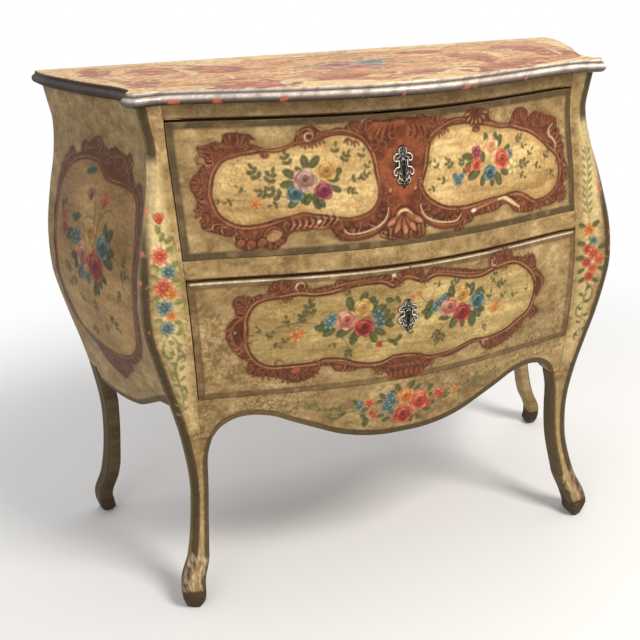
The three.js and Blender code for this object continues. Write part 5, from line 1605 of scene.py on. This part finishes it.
def paint_upper_front(canvas):
    border(canvas, *UPPER_FRONT, BAND, .92)
    ground = field_ground(canvas, (226, 194, 134), (192, 158, 102), (152, 118, 70), 85)
    outer = scroll_ground(canvas, UPPER_OUTER, 86)
    both = np.concatenate([curve(UPPER_LEFT_FIELD, True), curve(UPPER_RIGHT_FIELD, True)])
    leafing(canvas, outer, both, 8, 87)
    panel = curve(UPPER_PANEL, True)
    paint(canvas, [
        (area, panel, (138, 70, 42)), (area, panel, (84, 38, 24), canvas.patch(16, 88, .35, .4) * .8),
        (stroke, ring(panel), 2, RUST_DEEP, .5, 1, 1)])
    for field in (UPPER_LEFT_FIELD, UPPER_RIGHT_FIELD):
        reserve(canvas, field, ground)
    paint(canvas, [
        (pull, [(-213, 764), (-190, 761), (-162, 766)], 9, (150, 122, 80), .8, .7, .7, 2),
        (rail, [(-214, 756), (-200, 752), (-180, 751), (-162, 756), (-150, 762)], 6),
        (rail, [(150, 762), (165, 757), (185, 754), (204, 755)], 6)])
    for x in (-1, 1):
        brow = np.array([(128, 765), (112, 772), (96, 775), (80, 773), (66, 767), (55, 757), (49, 744)])
        paint(canvas, [
            (rail, brow * (x, 1), 6),
            (rail, [(x * 172, 646), (x * 150, 643), (x * 127, 639), (x * 116, 640)], 7, RUST_DEEP,
            (164, 84, 56)), (crescent, x), (volute, x * 20, 668, 8, 90, x * -330, 3.4),
            (dab, x * 20 - 2, 684, 11, 8, 68.8, RUST_DEEP, .7),
            (dab, x * 20 - 2, 685, 7, 5, 68.8, RUST_GLOW, .8)])
        for step in range(4):
            outward = 9 * step
            pleat = [(x * (12 + 8 * step), 778 - step), (x * (16 + outward), 768 - 2 * step),
                     (x * (12 + outward), 758 - 3 * step)]
            canvas.pull(pleat, 4, RUST_DEEP, .6, .4, .8)
            lit = [(x * (9 + 8 * step), 779 - step), (x * (12 + outward), 769 - 2 * step)]
            canvas.pull(lit, 2, RUST_LIGHT, .6)
        plume(canvas, x * 58, 770, 17, 90 + x * 10, 5)
        plume(canvas, x * 34, 752, 15, 90 - x * 60, 4)
        for across, up, size, start in (
                (14, 764, 8, 200), (30, 748, 9, 20), (13, 742, 6, 90), (24, 728, 8, 240), (30, 706, 6, 120),
                (24, 694, 7, 300)):
            volute(canvas, x * across, up, size, start if x > 0 else 180 - start, x * 290, 3.6)
    paint(canvas, [
        (shell, 0, 650, 34, 5, 118),
        (pull, [(-12, 648), (-6, 653), (2, 654), (12, 647)], 4, CREAM, .95, .5, .4),
        (pull, [(-20, 645), (-12, 656), (0, 660), (12, 655), (20, 644)], 4, RUST_DEEP, .7),
        (plume, -236, 758, 20, 92, 6, 140), (plume, -262, 752, 14, 130, 4, 90),
        (plume, -200, 742, 10, 60, 4, 80), (volute, -136, 769, 13, 200, -300, 6),
        (stroke, arc(-135, 768, 6, 0, 300), 2.4, CREAM, .8), (shell, 128, 785, 24, 7, 150, RUST),
        (plume, 128, 764, 12, -90, 4, 70), (plume, 218, 756, 20, 95, 5, 120),
        (plume, 258, 744, 22, 80, 6, 120), (plume, 284, 716, 26, 60, 6, 150),
        (pull, [(289, 744), (281, 738), (280, 728), (287, 722), (293, 712), (290, 704)], 4, CREAM, .75, .5,
        .4), (volute, 296, 690, 12, 60, -260, 5), (plume, 306, 664, 14, -10, 4, 100),
        (plume, 296, 636, 16, -30, 5, 120), (plume, 250, 630, 14, -80, 5, 130),
        (pull, [(166, 646), (178, 647), (190, 641), (200, 634), (209, 628)], 6, CREAM, .9, .5, .4),
        (pull, [(168, 650), (184, 650), (200, 642), (213, 632)], 2.2, RUST_DEEP, .8),
        (dab, 119, 637, 10, 6, 5.7, SCROLL_CREAM, .95), (dab, -129, 648, 12, 5, 5.7, SCROLL_CREAM, .95),
        (dab, -195, 631, 24, 14, 28.6, (186, 146, 100), .75),
        (rail, arc(-195, 629, 14, 250, -30), 6, RUST_DEEP, RUST, RUST_LIGHT),
        (stroke, arc(-195, 630, 7, 200, 20), 1.6, RUST_DEEP, .6)])
    for x, z in ((-243, 622), (-229, 620), (-213, 622)):
        paint(canvas, [
            (dab, x, z, 18, 16, 0, RUST_DEEP, .8), (dab, x, z, 14, 12, 34.4, (130, 68, 48), .9),
            (stroke, arc(x, z + .5, 4.6, 20, 165), 2.4, RUST_LIGHT, .8),
            (stroke, arc(x + 1, z - 1, 3.4, 190, 350), 1.7, RUST_DEEP, .8)])
    for step in range(8):
        x, z = -174 + step * 9, 645 + step * .8
        canvas.pull([(x - 2, z - 8), (x + 4, z), (x + 2, z + 8)], 3.6, RUST_DEEP, .7, .7, .4)
        canvas.pull([(x + 2, z - 7), (x + 8, z), (x + 6, z + 7)], 2.4, RUST_GLOW, .6, .7, .4)
    paint(canvas, [
        (plume, -288, 706, 16, 160, 5, 150), (plume, -288, 668, 16, 200, 5, 150),
        (volute, -284, 740, 10, 0, 280, 5)])
    for x, z in ((-140, 760), (-130, 760), (-119, 765), (-80, 763), (-70, 759), (62, 761), (72, 765)):
        plume(canvas, x, z, 9, -95, 3, 90)
    flowers(
        canvas, roses=[(-114, 720, 14, GOLD), (-161, 690, 12, TEAL), (-120, 692, 13, MAGENTA),
        (-146, 709, 16, LILAC), (155, 729, 14, PEACH), (126, 706, 10, CORAL), (151, 690, 12, TEAL),
        (176, 707, 15, CORAL)],
        blooms=[(-217, 678, 7, ORANGE), (127, 723, 10, MAGENTA), (191, 712, 8, SKY), (91, 686, 8, SKY),
        (98, 692, 5, SKY), (86, 694, 5, SKY), (196, 692, 10, LEMON), (110, 700, 5, BRICK)],
        leaves=[(-143, 736, 16, 100), (-132, 735, 15, 50), (-168, 719, 16, 150), (-172, 706, 15, 190),
        (-153, 723, 12, 120), (-165, 675, 14, 220), (-148, 682, 12, 260), (-132, 676, 18, 280),
        (-141, 680, 14, 240), (-98, 716, 14, 40), (-104, 706, 12, 0), (-100, 694, 12, -30),
        (-126, 674, 14, -60), (110, 718, 15, 160), (122, 690, 18, 200), (136, 680, 14, 250),
        (156, 674, 12, 270), (170, 677, 17, -70), (178, 686, 13, -30), (174, 735, 15, 60),
        (146, 743, 13, 110), (166, 742, 12, 80), (112, 708, 11, 200), (140, 714, 12, 90), (186, 722, 12, 40)],
        sprigs=[(-163, 728, 18, 110, 2), (-98, 738, 16, 90, 1), (-90, 728, 16, 60, 2), (-64, 730, 14, 70, 1),
        (-58, 716, 12, 60, 1), (-84, 704, 14, 10, 1), (-68, 704, 14, 30, 2), (-90, 692, 14, -20, 2),
        (-206, 710, 20, 120, 2), (-196, 702, 20, 70, 2), (-196, 690, 16, 160, 2), (-182, 680, 14, 200, 1),
        (-228, 696, 12, 150, 1), (-246, 686, 12, 200, 1), (-262, 684, 10, 170, 1), (-176, 686, 22, 150, 2),
        (84, 706, 16, 130, 2), (98, 704, 14, 80, 2), (74, 690, 14, 170, 1), (98, 694, 12, 30, 1),
        (60, 706, 14, 120, 1), (44, 712, 12, 100, 1), (54, 684, 12, 200, 1), (206, 726, 14, 40, 2),
        (214, 716, 12, 20, 1), (208, 690, 18, 10, 2), (208, 680, 14, -30, 1), (230, 700, 14, 50, 1),
        (240, 688, 14, -20, 1), (266, 690, 14, 60, 1), (274, 676, 12, -50, 1)])


def paint_lower_front(canvas):
    border(canvas, *LOWER_FRONT, LOWER_BAND, .68)
    # Painted highlight along the top lip of the lower drawer face.
    canvas.stroke([(-322, 567.4), (322, 567.4)], 2.1, LIP_HIGHLIGHT, .9, 1, 1)
    ground = field_ground(canvas, (202, 178, 118), (166, 141, 88), (134, 110, 66), 95)
    outer = scroll_ground(canvas, LOWER_OUTER, 96)
    leafing(canvas, outer, curve(LOWER_FIELD, True), 8, 97)
    line = reserve(canvas, LOWER_FIELD, ground)
    paint(canvas, [
        (stroke, ring(edge_line(line, 4.6)), 2, (186, 134, 90), .7, 1, 1, .6),
        (stroke, ring(edge_line(line, 1.6)), 1.6, RUST_DEEP, .6, 1, 1, .6),
        (rail, [(-150, 546), (-130, 545), (-112, 550), (-90, 553), (-60, 554), (-32, 553)], 6),
        (rail, [(36, 553), (56, 552), (80, 547), (104, 541), (128, 538), (146, 541)], 6),
        (rail, [(-150, 420), (-134, 426), (-110, 421), (-84, 413), (-60, 409), (-40, 406)], 6),
        (rail, [(44, 408), (70, 408), (96, 413), (118, 419), (136, 420)], 6),
        (volute, -166, 553, 13, 200, -300, 6), (stroke, arc(-165, 553, 7, 20, 250), 2.8, CREAM, .8),
        (plume, -196, 548, 18, 100, 6, 150), (plume, -186, 540, 10, -80, 4, 100),
        (plume, -248, 530, 17, 120, 5, 120), (rail, [(-226, 540), (-210, 543), (-196, 540)], 5),
        (dab, -262, 488, 44, 19, 85.9, RUST_DARK, .9),
        (pull, [(-252, 512), (-266, 500), (-271, 484), (-266, 466), (-256, 456)], 3.2, RUST_LIGHT, .8, .7,
        .5), (pull, [(-250, 508), (-256, 490), (-252, 470)], 2.4, RUST_DEEP, .8, .6, .6),
        (dab, -265, 487, 9, 8, 0, RUST_DEEP, .85), (dab, -265, 487.5, 5, 4, 0, RUST_GLOW, .85),
        (volute, -243, 474, 9, 60, 280, 4)])
    for x, z, turn in (
            (-238, 424, 230), (-222, 418, 260), (-206, 418, 280), (-190, 408, 250), (-172, 408, 280),
            (-156, 414, 310)):
        plume(canvas, x, z, 15, turn, 4, 110)
    paint(canvas, [
        (dab, -178, 416, 14, 9, 11.5, (196, 92, 66), .8), (volute, -150, 424, 12, 240, 280, 5),
        (volute, -204, 430, 8, 0, 280, 4), (plume, -20, 404, 15, 110, 5, 120),
        (plume, 20, 404, 15, 70, 5, 120), (plume, -44, 402, 12, 230, 4, 100),
        (plume, 40, 402, 12, -50, 4, 100)])
    for step in range(7):
        x = -27 + step * 9
        canvas.dab(x, 390 - abs(x) * .12, 20, 9, 90, (84, 40, 28), .8)
        canvas.dab(x, 389 - abs(x) * .12, 14, 5, 85.9, (142, 74, 52), .8)
    for step in range(5):
        canvas.dab(-20 + step * 10, 402, 11, 7, 0, (104, 50, 34), .8)
        canvas.dab(-20 + step * 10, 403, 7, 4, 0, RUST_LIGHT, .8)
    paint(canvas, [
        (plume, -16, 550, 12, -60, 4, 110), (plume, 4, 556, 12, 90, 5, 150),
        (plume, 28, 548, 12, -110, 4, 110), (dab, -23, 558, 7, 6, 17.2, (226, 212, 184), .85),
        (plume, -100, 548, 10, -70, 4, 100), (volute, 156, 550, 12, 120, 280, 6),
        (stroke, arc(157, 550, 6, 90, 330), 2.6, CREAM, .85), (plume, 176, 552, 17, 85, 6, 150),
        (plume, 176, 541, 10, -90, 4, 110), (plume, 226, 534, 17, 60, 5, 120),
        (dab, 250, 490, 40, 16, 88.8, RUST_DARK, .85),
        (pull, [(240, 514), (254, 504), (259, 490), (254, 476), (244, 466)], 3, RUST_LIGHT, .8, .7, .5),
        (plume, 238, 444, 14, -20, 5, 120), (volute, 146, 412, 11, 60, -280, 5),
        (stroke, arc(146, 412, 5, 0, 250), 2.4, CREAM, .8)])
    for x, z, turn in ((160, 408, -110), (176, 410, -80), (192, 416, -60), (208, 428, -50)):
        plume(canvas, x, z, 15, turn, 4, 110)
    for points in (
            [(-206, 490), (-190, 495), (-168, 497), (-148, 494), (-134, 488)],
            [(-40, 512), (-26, 516), (-16, 519)], [(18, 522), (26, 512), (34, 504)],
            [(-112, 478), (-106, 466), (-100, 456), (-96, 446), (-90, 438)],
            [(53, 446), (60, 456), (72, 466)], [(160, 512), (154, 522), (150, 527)],
            [(-60, 452), (-30, 450), (-20, 448)]):
        canvas.pull(points, 1.5, LEAF_DEEP, .7, 1, .4)
    spiral = np.radians(np.linspace(60, 640, 30))
    reach = np.linspace(10, 1.5, 30)
    right_coil = line_of(50 + reach * np.cos(-spiral), 437 + reach * np.sin(-spiral))
    left_coil = line_of(-63 + reach * .55 * np.cos(spiral), 446 + reach * .6 * np.sin(spiral))
    canvas.stroke(right_coil, 1.5, (118, 96, 56), .85, .6, .6)
    canvas.between(outer, curve(LOWER_FIELD, True), (64, 42, 24), .1)
    canvas.stroke(left_coil, 1.3, LEAF_DEEP, .7, .6, .6)
    flowers(
        canvas, roses=[(-72, 512, 14, GOLD), (-98, 494, 16, PINK), (-71, 479, 16, CRIMSON),
        (96, 507, 14, GOLD), (125, 492, 14, TEAL), (73, 490, 16, PINK), (97, 476, 16, CRIMSON)],
        blooms=[(-121, 499, 9, SKY), (-126, 490, 8, SKY), (-48, 496, 9, TEAL), (-47, 484, 9, SKY),
        (-176, 475, 9, ORANGE), (-168, 480, 6, ORANGE), (-47, 446, 6, BRICK), (53, 500, 9, SKY),
        (62, 507, 7, SKY), (46, 492, 6, SKY), (160, 470, 8, ORANGE), (164, 478, 5, ORANGE),
        (20, 522, 5, ORANGE), (8, 519, 4, ORANGE)],
        leaves=[(-95, 522, 17, 100), (-88, 514, 13, 60), (-71, 528, 17, 70), (-58, 524, 13, 30),
        (-47, 508, 18, 20), (-52, 516, 12, 50), (-138, 484, 17, 170), (-126, 475, 16, 210),
        (-132, 492, 12, 160), (-105, 472, 18, 215), (-96, 478, 13, 200), (-90, 461, 18, 250),
        (-84, 466, 14, 230), (-58, 463, 16, -70), (-46, 466, 15, -30), (-30, 480, 15, -40),
        (-27, 491, 14, 30), (-34, 498, 12, 60), (-38, 486, 12, -10), (-18, 446, 10, -60), (-10, 454, 10, 40),
        (-26, 450, 9, 150), (-20, 518, 10, 120), (-27, 522, 11, 170), (78, 514, 18, 100), (70, 510, 13, 150),
        (114, 514, 17, 70), (126, 508, 15, 30), (106, 518, 13, 100), (132, 504, 12, 10), (35, 500, 16, 60),
        (35, 486, 17, 240), (28, 490, 12, 180), (70, 474, 17, 200), (80, 462, 19, 240), (60, 472, 12, 190),
        (130, 474, 16, -20), (118, 460, 21, -80), (126, 466, 14, -50), (98, 456, 12, 270)],
        sprigs=[(-226, 482, 12, 120, 1), (-218, 470, 14, 60, 1), (-214, 464, 12, -20, 1),
        (-186, 492, 14, 100, 1), (-166, 494, 16, 80, 2), (-150, 504, 22, 95, 2), (-154, 520, 12, 60, 1),
        (-88, 532, 14, 130, 1), (-96, 448, 16, 260, 2), (-112, 458, 12, 200, 1), (-200, 464, 12, 30, 1),
        (8, 452, 12, 100, 1), (58, 456, 16, 220, 2), (64, 450, 16, 240, 2), (52, 446, 14, 260, 1),
        (72, 524, 16, 30, 2), (60, 532, 12, 170, 1), (160, 506, 16, 20, 2), (156, 524, 12, 60, 1),
        (148, 486, 14, 80, 1), (170, 484, 12, 40, 1), (190, 482, 12, 20, 1), (226, 484, 10, 90, 1),
        (136, 448, 12, -60, 1), (160, 516, 10, 140, 1)])


paint_upper_front(front_paint)
paint_lower_front(front_paint)
for name, heights, key_height in DRAWERS:
    # Painted shade: black on the face behind each keyhole, standing in for the dark inside the hole.
    front_paint.dab(0, key_height, 8, 8, 0, KEYHOLE_SHADE)
    front_paint.stroke([(0, key_height), (0, key_height - 11)], 5, KEYHOLE_SHADE, 1, 1, 1)
    painted_face(f"{name}_front", BOW_HALF_WIDTH, *heights, DRAWER_PITCH, FACE_PROUD, name)

# Escutcheons
# Rococo key plates cast in bronze and pinned over the keyholes: openwork scrolls and leaf tips
# round the hole, black with age in the hollows and rubbed bright on top.
UPPER_PLATE = (34, 63)
LOWER_PLATE = (35, 56)
PLATE_OUTLINE = [
    (0, .5), (.16, .46), (.22, .38), (.14, .31), (.3, .33), (.46, .25), (.42, .14), (.27, .1), (.4, .02),
    (.5, -.09), (.44, -.2), (.27, -.22), (.33, -.32), (.2, -.4), (.08, -.42), (0, -.5)]
PLATE_PIERCINGS = [(.29, .22, .05), (.33, -.09, .07), (.15, -.31, .04)]
PLATE_RISE = .9
KEYHOLE_RADIUS = 3.2
KEYHOLE_SLOT = 1.7
KEYHOLE_FOOT = -11


def old_bronze():
    made = Finish("old_bronze")
    patches = made.noise(260, 4)["Fac"]
    tarnish = made.ramp(patches, .35, .65)
    dark = made.mix(tarnish, (.012, .011, .010, 1), (.035, .032, .026, 1))
    bright = made.mix(tarnish, (.78, .74, .64, 1), (.5, .45, .36, 1))
    rubbed = made.node("Attribute", attribute_name="paint")["Fac"]
    made.coat(made.mix(rubbed, dark, bright), made.spread(patches, .26, .5), metal=.85)
    made.bump(patches, .35, .0003)
    return made.material


def bar(points, radius, rise=PLATE_RISE):
    """Round cast scroll lying on the plate, thinning to its ends."""
    line = curve(points, fine=4)
    share = np.linspace(0, 1, len(line))
    thick = radius * (.45 + .55 * np.sin(share * math.pi) ** .6)
    along = unit(np.gradient(line, axis=0))
    turn = np.linspace(0, 2 * math.pi, 10, endpoint=False)
    beside = thick[:, None] * np.cos(turn)
    flat = line[:, None] + np.stack([-along[:, 1], along[:, 0]], 1)[:, None] * beside[..., None]
    lift = rise + thick[:, None] * np.sin(turn) * 1.15
    return np.concatenate([flat, lift[..., None]], 2).reshape(-1, 3), loft_faces(len(line), len(turn))


def bead(x, z, radius, rise=PLATE_RISE):
    """Round boss on the plate."""
    turn = np.linspace(0, 2 * math.pi, 12, endpoint=False)
    tilt = np.linspace(-1.45, 1.45, 8)
    rings = [[(x + radius * math.cos(t) * math.cos(a), z + radius * math.cos(t) * math.sin(a),
               rise + radius * math.sin(t)) for a in turn] for t in tilt]
    return np.reshape(rings, (-1, 3)), loft_faces(len(tilt), len(turn))


def key_plate(width, height):
    """Pierced backing plate with a keyhole, as points on the plate and faces."""
    right = np.array(PLATE_OUTLINE) * (width, height)
    left = right[-2:0:-1] * (-1, 1)
    loops = [curve(np.concatenate([right, left]), True, 4)]
    for x, z, radius in PLATE_PIERCINGS:
        for side in (1, -1):
            loops.append(arc(side * x * width, z * height, radius * height, 0, 324))
    foot = [(-KEYHOLE_SLOT, KEYHOLE_FOOT), (KEYHOLE_SLOT, KEYHOLE_FOOT)]
    loops.append(np.concatenate([foot, arc(0, 0, KEYHOLE_RADIUS, -57, 237)]))
    for i, loop in enumerate(loops):
        x, z = loop.T
        signed = np.sum(x * np.roll(z, -1) - z * np.roll(x, -1))
        if (signed > 0) != (i == 0):
            loops[i] = loop[::-1]
    flat = np.concatenate(loops)
    count = len(flat)
    nested = [[(float(x), float(z), 0) for x, z in loop] for loop in loops]
    faces = []
    for a, b, c in tessellate_polygon(nested):
        one, two = flat[b] - flat[a], flat[c] - flat[a]
        lit = (a, b, c) if one[0] * two[1] - one[1] * two[0] > 0 else (a, c, b)
        faces += [list(lit), [i + count for i in lit[::-1]]]
    first = 0
    for loop in loops:
        for i in range(len(loop)):
            a, b = first + i, first + (i + 1) % len(loop)
            faces.append([b, a, a + count, b + count])
        first += len(loop)
    front = np.concatenate([flat, np.full((count, 1), PLATE_RISE)], 1)
    back = np.concatenate([flat, np.full((count, 1), -.3)], 1)
    return np.concatenate([front, back]), faces


def scrolls(width, height):
    """Scrolls, leaf tips and beads of one plate, as shares of its width and height."""
    halves = [([(.02, .47), (.15, .42), (.17, .34), (.1, .29)], .95),
        ([(.1, .3), (.28, .31), (.42, .25), (.4, .16), (.28, .15), (.26, .21)], 1.05),
        ([(.24, .1), (.2, .17), (.2, .02), (.33, .0), (.45, -.07), (.43, -.16), (.33, -.17), (.29, -.12)],
        1.15), ([(.3, -.2), (.22, -.24), (.3, -.3), (.22, -.36), (.12, -.37)], .95),
        ([(.18, -.1), (.23, -.2), (.14, -.28), (0, -.33)], .9), ([(.06, .24), (.2, .23), (.24, .13)], .8),
        ([(.13, .1), (.08, .16), (.02, .2), (.1, .27)], .85),
        ([(.12, -.04), (.2, -.1), (.12, -.16), (.16, -.22)], .85),
        ([(.04, -.22), (.1, -.27), (.02, -.33)], .85)]
    parts = []
    for points, radius in halves:
        for side in (1, -1):
            line = np.array(points) * (side * width, height)
            parts.append(bar(line, radius * 1.2))
            parts.append(bead(*line[-1], radius * 1.15))
    for x, z, radius in ((.46, .24, .9), (.47, -.1, .95), (.21, .4, .8), (.2, -.39, .8), (.35, .08, .7)):
        parts += [bead(side * x * width, z * height, radius) for side in (1, -1)]
    for lean in (-40, -14, 14, 40):
        root = np.array((0, .3 * height))
        middle, tip = toward(90 + lean, .1 * height), toward(90 + lean * .7, .19 * height)
        parts.append(bar([root, root + middle, root + tip], .9))
    parts += [bead(0, z * height, radius) for z, radius in ((-.38, 1.3), (-.45, .9), (.3, 1.5), (.24, .8))]
    rim = [(0, 4.6), (3.3, 3.3), (4.5, 0), (3.2, -4), (3, -11), (0, -12.6)]
    for side in (1, -1):
        parts.append(bar(np.array(rim) * (side, 1), .85))
    return parts


bronze = old_bronze()


def make_escutcheon(drawer, key_height, width, height):
    points, faces, count = [], [], 0
    for part, part_faces in [key_plate(width, height), *scrolls(width, height)]:
        a, b, c = (np.array([part[face[k]] for face in part_faces]) for k in (0, 1, 2))
        if count and np.einsum("ij,ij->", a, np.cross(b, c)) < 0:
            part_faces = [face[::-1] for face in part_faces]
        points.append(part)
        faces += [[i + count for i in face] for face in part_faces]
        count += len(part)
    points = np.concatenate(points)
    x, z = points[:, 0], points[:, 1] + key_height
    worn = np.clip((points[:, 2] - PLATE_RISE - .2) / .95, 0, 1) ** 2 * 255
    colours = np.stack([worn, worn, worn, np.full(len(worn), 1.)], 1)
    placed = np.stack([x, front_forward(x, z) + FACE_PROUD + points[:, 2], z], 1)
    piece(f"{drawer}_key_plate", placed, faces, colours, bronze, drawer, f"{drawer}_escutcheon", 40)


make_escutcheon("upper_drawer", UPPER_KEY_HEIGHT, *UPPER_PLATE)
make_escutcheon("lower_drawer", LOWER_KEY_HEIGHT, *LOWER_PLATE)

# Bare wood inside
# Rails, runners, boards and the drawer boxes are sawn fir, never painted and brown with age.
# The grain of each piece runs along its length.
FIR_PALE = (178, 138, 92)
FIR_DARK = (128, 90, 54)


def sawn_wood(name, axis):
    made = Finish(name)
    along = made.along(axis, .07)
    rings = made.ramp(made.noise(46, 5, along, twist=1.4)["Fac"], .38, .64)
    fibre = made.noise(520, 3, along)["Fac"]
    age = made.ramp(made.noise(9, 5, rough=.65)["Fac"], .45, .72)
    grain = made.mix(rings, (*to_linear(FIR_PALE), 1), (*to_linear(FIR_DARK), 1))
    fine = made.stain(made.ramp(fibre, .48, .66), grain, (.62, .52, .42, 1))
    made.coat(made.stain(age, fine, (.55, .47, .38, 1)), .72, .3)
    made.bump(fibre, .3, .0005)
    return made.material


fir = [sawn_wood(f"sawn_fir_{letter}", axis) for axis, letter in enumerate("xyz")]
BARE_NODES = [
    "back_top_rail", "back_middle_rail", "back_bottom_rail", "back_board_1", "back_board_2", "back_board_3",
    "dust_board", "front_top_rail", "drawer_divider"]
for hand in ("right", "left"):
    BARE_NODES += [f"{hand}_{part}" for part in (
        "upper_runner", "lower_runner", "upper_guide", "lower_guide", "kicker", "back_glue_block",
        "front_glue_block", "upper_stop", "lower_stop")]
for drawer in ("upper_drawer", "lower_drawer"):
    BARE_NODES += [f"{drawer}_{part}" for part in ("front", "right_side", "left_side", "back", "bottom")]


def dress(node, material):
    for worn in bpy.data.objects[node].material_slots:
        worn.material = material


for node in BARE_NODES:
    axis = int(np.argmax(bpy.data.objects[node].dimensions))
    dress(node, fir[axis])

# Locks
# Iron box locks let into the backs of the drawer fronts, forged plates with a sliding bolt,
# browned with rust and filed bright on the bolt.
def iron(name, rust, bare_rough):
    made = Finish(name)
    spots = made.noise(120, 6, rough=.7)["Fac"]
    rusty = made.ramp(spots, rust, rust + .18)
    colour = made.mix(rusty, (.16, .155, .15, 1), (.13, .06, .03, 1))
    made.coat(colour, made.spread(rusty, bare_rough, .85), metal=made.spread(rusty, .9, .1))
    made.bump(spots, .4, .0004)
    return made.material


lock_iron = iron("forged_iron", .46, .45)
bolt_iron = iron("filed_iron", .6, .3)
for drawer in ("upper_drawer", "lower_drawer"):
    dress(f"{drawer}_lock", lock_iron)
    dress(f"{drawer}_lock_bolt", bolt_iron)

# Stage
# A plain pale matt floor that fades to white, and a white surround. Three soft square lamps light
# the chest from the right, the left and above, and the camera stands before its left corner.
def floor_finish():
    """Pale matt floor that the camera sees fade to white away from the chest."""
    made = Finish("pale_floor")
    made.coat((.86, .855, .85, 1), .8, .1)
    away = made.node("VectorMath", {0: made.place}, operation="LENGTH")["Value"]
    seen = made.times(made.ramp(away, .75, 1.7), made.node("LightPath")["Is Camera Ray"])
    white = made.node("Emission", {"Strength": 1})[0]
    both = made.node("MixShader", {0: seen, 1: made.shader.outputs[0], 2: white})[0]
    made.join(made.tree.nodes["Material Output"], {"Surface": both})
    return made.material


FLOOR_HALF = 6
floor_mesh = bpy.data.meshes.new("floor")
floor_corners = [(x * FLOOR_HALF, y * FLOOR_HALF, 0) for x, y in ((-1, -1), (1, -1), (1, 1), (-1, 1))]
floor_mesh.from_pydata(floor_corners, [], [(0, 1, 2, 3)])
floor_mesh.materials.append(floor_finish())
floor = bpy.data.objects.new("floor", floor_mesh)
bpy.context.collection.objects.link(floor)

world = bpy.data.worlds.new("studio")
bpy.context.scene.world = world
world.use_nodes = True
STUDIO_LEVEL = .5
background = world.node_tree.nodes["Background"]
background.inputs["Color"].default_value = (1, 1, 1, 1)
rays = world.node_tree.nodes.new("ShaderNodeLightPath")
seen = rays.outputs["Is Camera Ray"]
for ray in ("Is Glossy Ray", "Is Transmission Ray"):
    either = world.node_tree.nodes.new("ShaderNodeMath")
    either.operation = "MAXIMUM"
    world.node_tree.links.new(seen, either.inputs[0])
    world.node_tree.links.new(rays.outputs[ray], either.inputs[1])
    seen = either.outputs[0]
level = world.node_tree.nodes.new("ShaderNodeMapRange")
level.inputs["To Min"].default_value = STUDIO_LEVEL
level.inputs["To Max"].default_value = 1
world.node_tree.links.new(seen, level.inputs["Value"])
world.node_tree.links.new(level.outputs["Result"], background.inputs["Strength"])


def lamp(name, place, aim, size, power, colour):
    light = bpy.data.lights.new(name, "AREA")
    light.shape = "SQUARE"
    light.size = size
    light.energy = power
    light.color = colour
    made = bpy.data.objects.new(name, light)
    made.location = place
    direction = np.array(aim) - np.array(place)
    away = -direction / np.linalg.norm(direction)
    right = np.cross((0, 0, 1), away)
    right /= np.linalg.norm(right)
    up = np.cross(away, right)
    rows = [[right[i], up[i], away[i], place[i]] for i in range(3)]
    made.matrix_world = Matrix([*rows, [0, 0, 0, 1]])
    bpy.context.collection.objects.link(made)


lamp("key_lamp", (1.3, -2.1, 3.1), aim=(0, 0, .5), size=1.1, power=98, colour=(1, .965, .9))
lamp("fill_lamp", (-2.2, -2.6, 1.6), aim=(0, 0, .45), size=2.2, power=26, colour=(.99, .99, 1))
lamp("top_lamp", (.3, .8, 3.2), aim=(0, 0, .8), size=2.0, power=18, colour=(1, 1, 1))

CAMERA_PLACE = (-.51593, -1.46056, 1.01611)
CAMERA_YAW = math.radians(19.374)
CAMERA_PITCH = math.radians(24.534)
CAMERA_ROLL = math.radians(-1.636)
level = np.array([math.cos(CAMERA_YAW), -math.sin(CAMERA_YAW), 0])
facing = np.array([math.sin(CAMERA_YAW), math.cos(CAMERA_YAW), 0])
ahead = facing * math.cos(CAMERA_PITCH) - (0, 0, math.sin(CAMERA_PITCH))
upward = np.cross(level, ahead)
right = math.cos(CAMERA_ROLL) * level + math.sin(CAMERA_ROLL) * upward
over = -math.sin(CAMERA_ROLL) * level + math.cos(CAMERA_ROLL) * upward
camera_data = bpy.data.cameras.new("camera")
camera_data.sensor_width = 36
camera_data.lens = 52.14
camera_data.shift_x = -.0648
camera_data.shift_y = .0733
camera = bpy.data.objects.new("camera", camera_data)
rows = [[right[i], over[i], -ahead[i], CAMERA_PLACE[i]] for i in range(3)]
camera.matrix_world = Matrix([*rows, [0, 0, 0, 1]])
bpy.context.collection.objects.link(camera)
bpy.context.scene.camera = camera
bpy.context.scene.view_settings.view_transform = "Standard"
